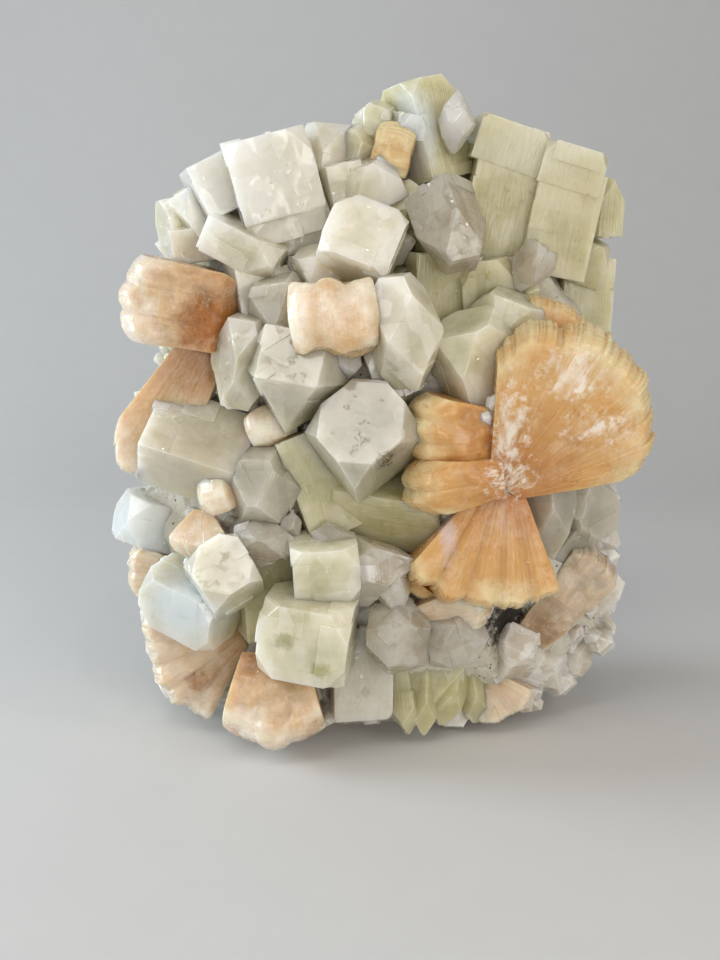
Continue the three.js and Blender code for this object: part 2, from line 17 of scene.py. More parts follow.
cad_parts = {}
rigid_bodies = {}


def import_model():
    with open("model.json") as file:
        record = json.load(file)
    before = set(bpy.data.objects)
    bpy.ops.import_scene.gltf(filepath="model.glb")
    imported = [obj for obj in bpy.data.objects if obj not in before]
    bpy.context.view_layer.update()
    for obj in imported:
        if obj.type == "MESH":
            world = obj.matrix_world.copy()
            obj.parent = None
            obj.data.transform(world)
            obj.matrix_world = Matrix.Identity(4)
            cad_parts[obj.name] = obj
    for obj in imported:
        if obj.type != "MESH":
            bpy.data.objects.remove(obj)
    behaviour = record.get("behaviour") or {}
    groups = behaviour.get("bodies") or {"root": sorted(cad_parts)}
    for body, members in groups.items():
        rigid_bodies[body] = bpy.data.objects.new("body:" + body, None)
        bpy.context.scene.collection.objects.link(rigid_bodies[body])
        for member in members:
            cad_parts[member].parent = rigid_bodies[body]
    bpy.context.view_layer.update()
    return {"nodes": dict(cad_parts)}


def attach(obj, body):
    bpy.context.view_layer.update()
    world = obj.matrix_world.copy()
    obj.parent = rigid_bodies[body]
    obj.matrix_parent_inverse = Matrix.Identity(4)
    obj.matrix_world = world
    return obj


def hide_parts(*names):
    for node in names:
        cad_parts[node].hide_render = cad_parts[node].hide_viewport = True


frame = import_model()

# ---------------------------------------------------------------- driving values

MM = 0.001
DEGREE = math.pi / 180

PYRAMID_ANGLE = 60.5  # degrees between the c axis and a pyramid face's normal
FACE_JITTER = 0.05  # how unevenly the faces of one crystal have grown, as a share of its size

BURIED = 0.35  # how far a piece reaches under the one in front of it, mm
PLATES = 4  # growth plates on a crystal
PLATE_RISE = (0.05, 0.22)  # how far a plate stands above its face, mm
PLATE_EDGE = (0.1, 0.6)  # how far its edge stays inside the crystal's other faces, mm
SMALL_PLATE_EDGE = (0.15, 0.7)  # and that of a small plate, as a share of the crystal's half size
SMALL_PLATES = 0.3  # share of the sides of the plates that are cut back so far
CORNERS = 5  # small steps grown at the edges of a crystal
CORNER_RISE = (0.15, 0.6)  # how far a step stands above both its faces, mm
CORNER_SIZE = (0.25, 0.8)  # how far a step reaches from its edge, as a share of the crystal's half size
CORNER_SHORT = 1.2  # how much shorter than its edge a step may be at each end, as the same share
EDGE_ROUND = 0.22  # width of the worn edge of a crystal, mm
PLATE_ROUND = 0.07  # width of the edge of a plate, mm
CORNER_MERGE = 0.12  # corners of a crystal closer than this are one, mm
FLAT_ANGLE = 0.02  # radians between faces that count as one plane
NEARLY_FLAT = 1e-4  # planes whose normals span less than this have no corner of their own
SLACK = 1e-4  # how far past a plane a corner may lie, mm

SLOTS = {
    "MILKY": "milky_apophyllite",
    "GREEN": "green_apophyllite",
    "YELLOW": "yellow_apophyllite",
    "GLASSY": "clear_apophyllite",
    "PEACH": "peach_stilbite",
    "BLUSH": "peach_stilbite",
    "PALE": "pale_stilbite",
    "SPARKLE": "clear_apophyllite",
    "BASALT": "basalt_matrix",
}
MILKY, GREEN, YELLOW, GLASSY, PEACH, BLUSH, PALE, SPARKLE, BASALT = SLOTS
STILBITES = (PEACH, BLUSH, PALE)


# ---------------------------------------------------------------- chance and turns


def chance(seed, place):
    """A repeatable number from 0 to 1 for a seed and a place in a list."""
    wave = math.sin(seed * 12.9898 + place * 78.233) * 43758.5453
    return wave - math.floor(wave)


def between(low, high, seed, place):
    return low + (high - low) * chance(seed, place)


def turn_of(tilt):
    """The turn that takes +Z to a c axis: lean tips it to +X, nod to the front, spin turns about it."""
    lean, nod, spin = (angle * DEGREE for angle in tilt)
    about_y = np.array([[math.cos(lean), 0, math.sin(lean)], [0, 1, 0], [-math.sin(lean), 0, math.cos(lean)]])
    about_x = np.array([[1, 0, 0], [0, math.cos(nod), -math.sin(nod)], [0, math.sin(nod), math.cos(nod)]])
    about_z = np.array([[math.cos(spin), -math.sin(spin), 0], [math.sin(spin), math.cos(spin), 0], [0, 0, 1]])
    return about_y @ about_x @ about_z


# ---------------------------------------------------------------- crystals


def crystal_planes(half, cuts, seed):
    """Rows of normal and reach for one crystal about its own centre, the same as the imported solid's."""
    across, deep, long = half
    slope = math.tan(PYRAMID_ANGLE * DEGREE) / math.sqrt(2)

    def grown(size, place):
        return size * (1 + FACE_JITTER * (2 * chance(seed, place) - 1))

    rows = [
        [1, 0, 0, grown(across, 1)],
        [-1, 0, 0, grown(across, 2)],
        [0, 1, 0, grown(deep, 3)],
        [0, -1, 0, grown(deep, 4)],
        [0, 0, 1, long],
        [0, 0, -1, long],
    ]
    for end, cut in ((1, cuts[0]), (-1, cuts[1])):
        if cut == 0:
            continue
        apex = long + slope * (across + deep) * (1 - cut)
        for place, (side_x, side_y) in enumerate(((1, 1), (-1, 1), (-1, -1), (1, -1))):
            normal = np.array([slope * side_x, slope * side_y, end])
            size = np.linalg.norm(normal)
            rows.append([*(normal / size), grown(apex, 5 + place + 4 * end) / size])
    return np.array(rows, dtype=float)


def crystal(at, half, tilt, cuts=(0.3, 0), steps=()):
    """One crystal with the parallel steps that grew on it, as a list of bodies."""
    turn = turn_of(tilt)
    seed = at[0] * 0.37 + at[1] * 0.73 + at[2] * 0.19
    middle = np.array(at, float)
    places = [(middle, half)] + [(turn @ np.array(shift, float) + middle, grown) for shift, grown in steps]
    return [
        {"planes": crystal_planes(size, cuts, seed + step), "turn": turn, "at": place, "seed": seed + step}
        for step, (place, size) in enumerate(places)
    ]


def mean_half(planes):
    """The mean half size of a crystal, mm."""
    return float(planes[:6, 3].mean())


def corners_of(planes, grow=0.0):
    """The corners of the space inside the planes, each plane moved out by grow."""
    normals = planes[:, :3]
    reaches = planes[:, 3] + grow
    triples = np.array(list(combinations(range(len(planes)), 3)))
    matrices = normals[triples]
    usable = np.abs(np.linalg.det(matrices)) > NEARLY_FLAT
    triples = triples[usable]
    points = np.linalg.solve(matrices[usable], reaches[triples][:, :, None])[:, :, 0]
    points = points[(points @ normals.T <= reaches + SLACK).all(axis=1)]
    corners = []
    for point in points:
        if all(np.linalg.norm(point - other) > CORNER_MERGE for other in corners):
            corners.append(point)
    return corners


def hull(bm, corners):
    """Fills a bmesh with the convex hull of some corners, one face to a plane."""
    for corner in corners:
        bm.verts.new(corner)
    made = bmesh.ops.convex_hull(bm, input=bm.verts)
    inner = {item for item in made["geom_interior"] if isinstance(item, bmesh.types.BMVert)}
    inner.update(vert for vert in bm.verts if not vert.link_faces)
    bmesh.ops.delete(bm, geom=list(inner), context="VERTS")
    bmesh.ops.recalc_face_normals(bm, faces=bm.faces)


def face_kind(normal):
    """0 on a prism face, 0.5 on a pyramid face and 1 on a flat end."""
    steep = abs(normal[2])
    if steep > 0.9:
        return 1.0
    return 0.0 if steep < 0.1 else 0.5


def crystal_body(planes, body, tone, width, segments):
    """One convex body as a mesh in metres, with its worn edges and the marks that the finish reads."""
    for offset in (width, width / 3, 0.0):
        bm = bmesh.new()
        mark, axis, seat = (bm.faces.layers.float_vector.new(name) for name in ("mark", "axis", "seat"))
        hull(bm, corners_of(planes))
        bmesh.ops.dissolve_limit(bm, angle_limit=FLAT_ANGLE, verts=bm.verts, edges=bm.edges)
        for face in bm.faces:
            facing = int(np.argmax(planes[:, :3] @ np.array(face.normal)))
            face[mark] = (0.0, face_kind(planes[facing]), tone)
        if offset:
            worn = bmesh.ops.bevel(
                bm, geom=bm.edges[:], offset=offset, offset_type="OFFSET", segments=segments,
                profile=0.6, affect="EDGES", clamp_overlap=True,
            )
            for face in worn["faces"]:
                face[mark] = (1.0, face[mark][1], tone)
        size = bm.faces.layers.float.new("size")
        for face in bm.faces:
            face[axis] = body["turn"][:, 2]
            face[seat] = body["at"]
            face[size] = mean_half(body["planes"])
        if all(edge.is_manifold for edge in bm.edges) and len(bm.faces) > 3:
            return finished_mesh(bm, body["turn"], body["at"])
        bm.free()
    return None


def mesh_of(bm):
    """Ends a bmesh as a mesh without faces of more than four corners."""
    bmesh.ops.triangulate(bm, faces=[face for face in bm.faces if len(face.verts) > 4])
    mesh = bpy.data.meshes.new("mesh")
    bm.to_mesh(mesh)
    bm.free()
    return mesh


def finished_mesh(bm, turn, at):
    """Turns and places a bmesh that was made in its crystal's own axes."""
    for vert in bm.verts:
        vert.co = Vector((turn @ np.array(vert.co) + at) * MM)
    return mesh_of(bm)


def plates(body, count):
    """The thin growth plates on a crystal: its own planes, with one face out and some neighbours in."""
    planes, seed, size = body["planes"], body["seed"], mean_half(body["planes"])
    for number in range(count):
        draw = 100 + 20 * number
        raised = int(chance(seed, draw) * len(planes))
        moved = planes.copy()
        for place in range(len(planes)):
            if place == raised:
                moved[place, 3] += between(*PLATE_RISE, seed, draw + 1)
            elif planes[place, :3] @ planes[raised, :3] > -0.5:
                small = chance(seed, draw + 2 + place) < SMALL_PLATES
                limits = [limit * size for limit in SMALL_PLATE_EDGE] if small else PLATE_EDGE
                moved[place, 3] -= between(*limits, seed, draw + 5 + place)
        yield moved


def corner_steps(body, count):
    """Small steps at a crystal's edges: its own planes, with two faces that meet out and the others in."""
    planes, seed, size = body["planes"], body["seed"], mean_half(body["planes"])
    for number in range(count):
        draw = 900 + 20 * number
        ways = [2 * side + int(chance(seed, draw + side) * 2) for side in range(3)]
        free = int(chance(seed, draw + 3) * 3)
        moved = planes.copy()
        for place, way in enumerate(ways):
            if place == free:
                moved[way, 3] -= between(0.0, CORNER_SHORT * size, seed, draw + 4)
                moved[way ^ 1, 3] -= between(0.0, CORNER_SHORT * size, seed, draw + 5)
            else:
                moved[way, 3] += between(*CORNER_RISE, seed, draw + 6 + place)
                reach = between(*CORNER_SIZE, seed, draw + 9 + place) * size
                moved[way ^ 1, 3] = reach - planes[way, 3]
        moved[6:, 3] += between(*CORNER_RISE, seed, draw + 12)
        yield moved


def crystal_meshes(body, tone):
    made = [crystal_body(body["planes"], body, tone, EDGE_ROUND, 2)]
    for planes in corner_steps(body, CORNERS):
        made.append(crystal_body(planes, body, tone, PLATE_ROUND, 1))
    for number, planes in enumerate(plates(body, PLATES)):
        shade = tone + 0.05 * (chance(body["seed"], 60 + number) - 0.5)
        made.append(crystal_body(planes, body, shade, PLATE_ROUND, 1))
    return [mesh for mesh in made if mesh]


# ---------------------------------------------------------------- stilbite lobes

FULLEST = 0.55  # where a lobe's faces swell most, as a share of its length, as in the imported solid
RIM_NOTCH = 0.03  # how far the rim steps back between ridges, as a share of the length
RIM_UNEVEN = 0.05  # how unevenly the blades reach the rim, as a share of the length
CREST_UNEVEN = 0.2  # how far the rim's crest strays from the middle, as a share of the half depth
BLADE = 1.5  # mean width of one thin blade at the rim, mm
BLADE_WIDTHS = (0.4, 1.8)  # how much the widths differ
BLADE_COLUMNS = 4  # mesh columns across a blade
BLADE_GAP = 0.03  # share of a blade's width that its side takes up
BLADE_CREST = 0.012  # how much lower the rim's crest is at a blade's sides, as a share of the length
BLADE_RELIEF = 0.06  # how far one thin blade stands proud of the next, mm
BLADE_SHORT = 0.03  # how much shorter than the rim a blade may be, as a share of the length
BLADE_SHADE = 0.25  # how much the tone changes from blade to blade
BLADE_FADE = 0.3  # the relief fades out over this share of the length at the root
RIM_STRAIGHT = 0.35  # how straight the rim slopes to its crest, where 0 is quite round
RIM_ROUND = 1 - RIM_STRAIGHT
BUTT_LEFT = 0.25  # what is left of a rounded root's thickness at its end
FRONT_ROWS = 24  # mesh rows from the root to the rim
RIM_ROWS = 7  # mesh rows over each half of the rim
BACK_ROWS = 8
LUMPS = ((0.11, 1.6), (0.3, 0.5))  # swellings on a lobe's faces: (waves a mm, height)


def lobe(at, tilt, spread, root, rim, groove=0.5, swell=0.8, lumps=0.35, butt=0.0, blading=1.0):
    """One lobe of a sheaf: blades that spread from a waist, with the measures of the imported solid.

    lumps is the height of the soft swellings on it, butt how far its root is rounded off, mm, and blading how
    much the thin blades show.
    """
    length, fan, blades = spread
    flare, gable, bow = rim
    return [{
        "turn": turn_of(tilt), "at": np.array(at, float), "seed": at[0] + at[1] * 0.61 + at[2] * 0.27,
        "length": length, "fan": fan * DEGREE, "ribs": blades, "root": root,
        "thicken": math.tan(flare * DEGREE), "rise": math.tan(gable * DEGREE), "bow": bow,
        "groove": groove, "swell": swell, "lumps": lumps, "butt": butt, "blading": blading,
    }]


def rim_at(body, across, grow=0.0, rounded=True):
    """Reach, half depth, crest, its place in the depth, and swing of a lobe's rim at a place across it."""
    stations = 2 * body["ribs"] + 1
    phase = (across + 1) / 2 * (stations - 1)
    low = min(int(phase), stations - 2)
    part = phase - low
    ridge = part if low % 2 == 0 else 1 - part
    odd = low if low % 2 else low + 1
    uneven = ridge * RIM_UNEVEN * (2 * chance(body["seed"], odd) - 1)
    if rounded:
        ridge = 1 - (1 - ridge) ** 2
    notched = 1 - RIM_NOTCH * (1 - ridge) + uneven
    reach = body["length"] * (1 - body["bow"] * across ** 2) * notched + grow
    deep = body["root"][1] + grow + reach * body["thicken"] - body["groove"] * (1 - ridge)
    crest = reach + deep * body["rise"]
    offs = [CREST_UNEVEN * (2 * chance(body["seed"], place + 30) - 1) for place in (low, low + 1)]
    off = (offs[0] + (offs[1] - offs[0]) * part) * deep
    return reach, deep, crest, off, body["fan"] * across


def face_depth(body, along, across, deep):
    """Half the thickness of a lobe some way along it: straight, with a swelling between waist and rim."""
    root_deep = body["root"][1]
    if along < FULLEST:
        swollen = math.sin(along / FULLEST * math.pi / 2)
    else:
        swollen = math.cos((along - FULLEST) / (1 - FULLEST) * math.pi / 2)
    return root_deep + (deep - root_deep) * along + body["swell"] * (1 - 0.5 * across ** 2) * swollen


def blade_edges(body):
    """Places across a lobe where one thin blade ends and the next begins."""
    width = 2 * (body["root"][0] + body["length"] * math.sin(min(body["fan"], 1.2)))
    count = max(6, round(width / BLADE))
    widths = np.array([between(*BLADE_WIDTHS, body["seed"], 200 + i) for i in range(count)])
    return np.concatenate([[0], np.cumsum(widths)]) / widths.sum() * 2 - 1


def lobe_mesh(body, tone):
    """A lobe as one closed skin: front, rounded and serrated rim, back and root."""
    seed = body["seed"]
    blading = body["blading"]
    edges = blade_edges(body)
    rings, marks, axes = [], [], []
    for blade, (start, end) in enumerate(zip(edges[:-1], edges[1:])):
        short = BLADE_SHORT * blading * chance(seed, 300 + blade) ** 2
        proud = BLADE_RELIEF * blading * (2 * chance(seed, 400 + blade) - 1)
        shade = tone + BLADE_SHADE * blading * (chance(seed, 500 + blade) - 0.5)
        slant = 0.6 * (chance(seed, 600 + blade) - 0.5)
        for column in range(0 if blade == 0 else 1, BLADE_COLUMNS + 1):
            part = column / BLADE_COLUMNS
            across = start + (end - start) * (BLADE_GAP + (1 - 2 * BLADE_GAP) * part)
            hump = math.sqrt(max(0.0, 1 - (2 * part - 1) ** 2))
            reach, deep, crest, off, swing = rim_at(body, across)
            reach *= 1 - short
            crest *= 1 - short - BLADE_CREST * blading * (1 - hump)
            relief = proud + BLADE_RELIEF * blading * (hump - 0.5 + slant * (part - 0.5))
            foot = body["root"][0] * across
            out = np.array([math.sin(swing), 0, math.cos(swing)])
            ring = []
            for row in range(FRONT_ROWS + 1):
                along = row / FRONT_ROWS
                depth = face_depth(body, along, across, deep) + relief * min(1.0, along / BLADE_FADE)
                ring.append(along * reach * out + [foot, -depth, 0])
            front = -deep - relief
            for step in range(1, RIM_ROWS + 1):
                turned = step / RIM_ROWS * math.pi / 2
                rise = RIM_STRAIGHT * step / RIM_ROWS + RIM_ROUND * math.sin(turned)
                inward = RIM_STRAIGHT * step / RIM_ROWS + RIM_ROUND * (1 - math.cos(turned))
                depth = front + (off - front) * inward
                ring.append((reach + (crest - reach) * rise) * out + [foot, depth, 0])
            for step in range(1, RIM_ROWS):
                turned = step / RIM_ROWS * math.pi / 2
                rise = RIM_STRAIGHT * (1 - step / RIM_ROWS) + RIM_ROUND * math.cos(turned)
                depth = off + (deep - off) * (RIM_STRAIGHT * step / RIM_ROWS + RIM_ROUND * math.sin(turned))
                ring.append((reach + (crest - reach) * rise) * out + [foot, depth, 0])
            for row in range(BACK_ROWS + 1):
                along = 1 - row / BACK_ROWS
                ring.append(along * reach * out + [foot, face_depth(body, along, across, deep), 0])
            ring = np.array(ring)
            ring[:, 1] += [swollen(body, point) for point in ring]
            if body["butt"]:
                ends = np.clip((ring @ out) / body["butt"], 0, 1)
                shrink = BUTT_LEFT + (1 - BUTT_LEFT) * np.sqrt(1 - (1 - ends) ** 2)
                ring[:, 1] *= shrink
                ring[:, 0] *= 1 - (1 - shrink) * abs(across)
            rings.append(ring)
            marks.append(shade)
            axes.append(body["turn"] @ out)
    return skin_mesh(rings, marks, axes, body)


def swollen(body, point):
    """How far a soft swelling moves a point of a lobe out from its middle plane."""
    wave = sum(size * noise.noise(Vector(point) * waves + Vector(body["at"])) for waves, size in LUMPS)
    side = max(-1.0, min(1.0, point[1] / (0.5 * body["root"][1])))
    return side * body["lumps"] * wave


def skin_mesh(rings, marks, axes, body):
    """Joins closed rings of points side by side, and closes the first and the last."""
    bm = bmesh.new()
    mark, axis, seat = (bm.faces.layers.float_vector.new(name) for name in ("mark", "axis", "seat"))
    columns = []
    for ring in rings:
        columns.append([bm.verts.new((body["turn"] @ point + body["at"]) * MM) for point in ring])
    count = len(rings[0])
    for place in range(len(columns) - 1):
        here, there = columns[place], columns[place + 1]
        for row in range(count):
            after = (row + 1) % count
            face = bm.faces.new((here[row], here[after], there[after], there[row]))
            near_rim = min(1.0, row / FRONT_ROWS) if row < FRONT_ROWS + 2 * RIM_ROWS else 0.5
            face[mark] = (near_rim, 0.0, marks[place])
            face[axis] = axes[place]
            face[seat] = body["at"]
    for column in (columns[0], columns[-1]):
        face = bm.faces.new(column)
        face[mark] = (0.3, 0.0, marks[0])
        face[axis] = axes[0]
        face[seat] = body["at"]
    bmesh.ops.recalc_face_normals(bm, faces=bm.faces)
    return mesh_of(bm)


# ---------------------------------------------------------------- joining and cutting


def cutter(body):
    """The room a body takes from the pieces behind it, in the part's frame, in metres."""
    if "planes" in body:
        corners = corners_of(body["planes"], -BURIED)
    else:
        root_across, root_deep = (size - BURIED for size in body["root"])
        corners = [[side * root_across, deep * root_deep, 0] for side in (-1, 1) for deep in (-1, 1)]
        for station in range(2 * body["ribs"] + 1):
            across = station / body["ribs"] - 1
            reach, deep, crest, off, swing = rim_at(body, across, -2 * BURIED, rounded=False)
            full = face_depth(body, FULLEST, across, deep)
            foot = root_across * across
            swell_at = FULLEST * reach
            rows = ((swell_at, full), (swell_at, -full), (reach, deep), (reach, -deep), (crest, off))
            for far, depth in rows:
                corners.append([foot + far * math.sin(swing), depth, far * math.cos(swing)])
    bm = bmesh.new()
    hull(bm, [(body["turn"] @ np.array(corner) + body["at"]) * MM for corner in corners])
    return mesh_of(bm)


def boolean(mesh, others, operation):
    """The mesh united with the others, or with the others cut away."""
    if not others:
        return mesh
    scene = bpy.context.scene
    base = bpy.data.objects.new("base", mesh)
    scene.collection.objects.link(base)
    tools = bpy.data.collections.new("tools")
    scene.collection.children.link(tools)
    for other in others:
        tools.objects.link(bpy.data.objects.new("tool", other))
    modifier = base.modifiers.new("boolean", "BOOLEAN")
    modifier.operation = operation
    modifier.solver = "MANIFOLD"
    modifier.operand_type = "COLLECTION"
    modifier.collection = tools
    depsgraph = bpy.context.evaluated_depsgraph_get()
    result = bpy.data.meshes.new_from_object(base.evaluated_get(depsgraph))
    for item in list(tools.objects):
        bpy.data.objects.remove(item)
    bpy.data.collections.remove(tools)
    bpy.data.objects.remove(base)
    return result


def points_of(mesh):
    """The places of a mesh's corners, one row each, in metres."""
    places = np.empty(len(mesh.vertices) * 3)
    mesh.vertices.foreach_get("co", places)
    return places.reshape(-1, 3)


def triangles_of(mesh):
    """The three corners of each triangle of a mesh."""
    mesh.calc_loop_triangles()
    corners = np.empty(len(mesh.loop_triangles) * 3, dtype=np.int32)
    mesh.loop_triangles.foreach_get("vertices", corners)
    return corners.reshape(-1, 3)


def largest_part(mesh):
    """Drops every separate part of a mesh but the one with the most volume."""
    ends = np.empty(len(mesh.edges) * 2, dtype=np.int32)
    mesh.edges.foreach_get("vertices", ends)
    first, second = ends[0::2], ends[1::2]
    label = np.arange(len(mesh.vertices))
    while True:
        low = np.minimum(label[first], label[second])
        fresh = label.copy()
        np.minimum.at(fresh, first, low)
        np.minimum.at(fresh, second, low)
        fresh = fresh[fresh]
        if (fresh == label).all():
            break
        label = fresh
    names = np.unique(label)
    if len(names) == 1:
        return mesh
    places, corners = points_of(mesh), triangles_of(mesh)
    a, b, c = (places[corners[:, k]] for k in range(3))
    volumes = np.einsum("ij,ij->i", a, np.cross(b, c))
    totals = np.array([volumes[label[corners[:, 0]] == name].sum() for name in names])
    kept = names[int(np.argmax(totals))]
    bm = bmesh.new()
    bm.from_mesh(mesh)
    bm.verts.ensure_lookup_table()
    lost = [bm.verts[int(i)] for i in np.flatnonzero(label != kept)]
    bmesh.ops.delete(bm, geom=lost, context="VERTS")
    bm.to_mesh(mesh)
    bm.free()
    return mesh


def box_of(mesh):
    places = points_of(mesh)
    return places.min(axis=0), places.max(axis=0)


def meet(one, other):
    return bool((one[0] < other[1]).all() and (other[0] < one[1]).all())


# ---------------------------------------------------------------- the pieces, front to back

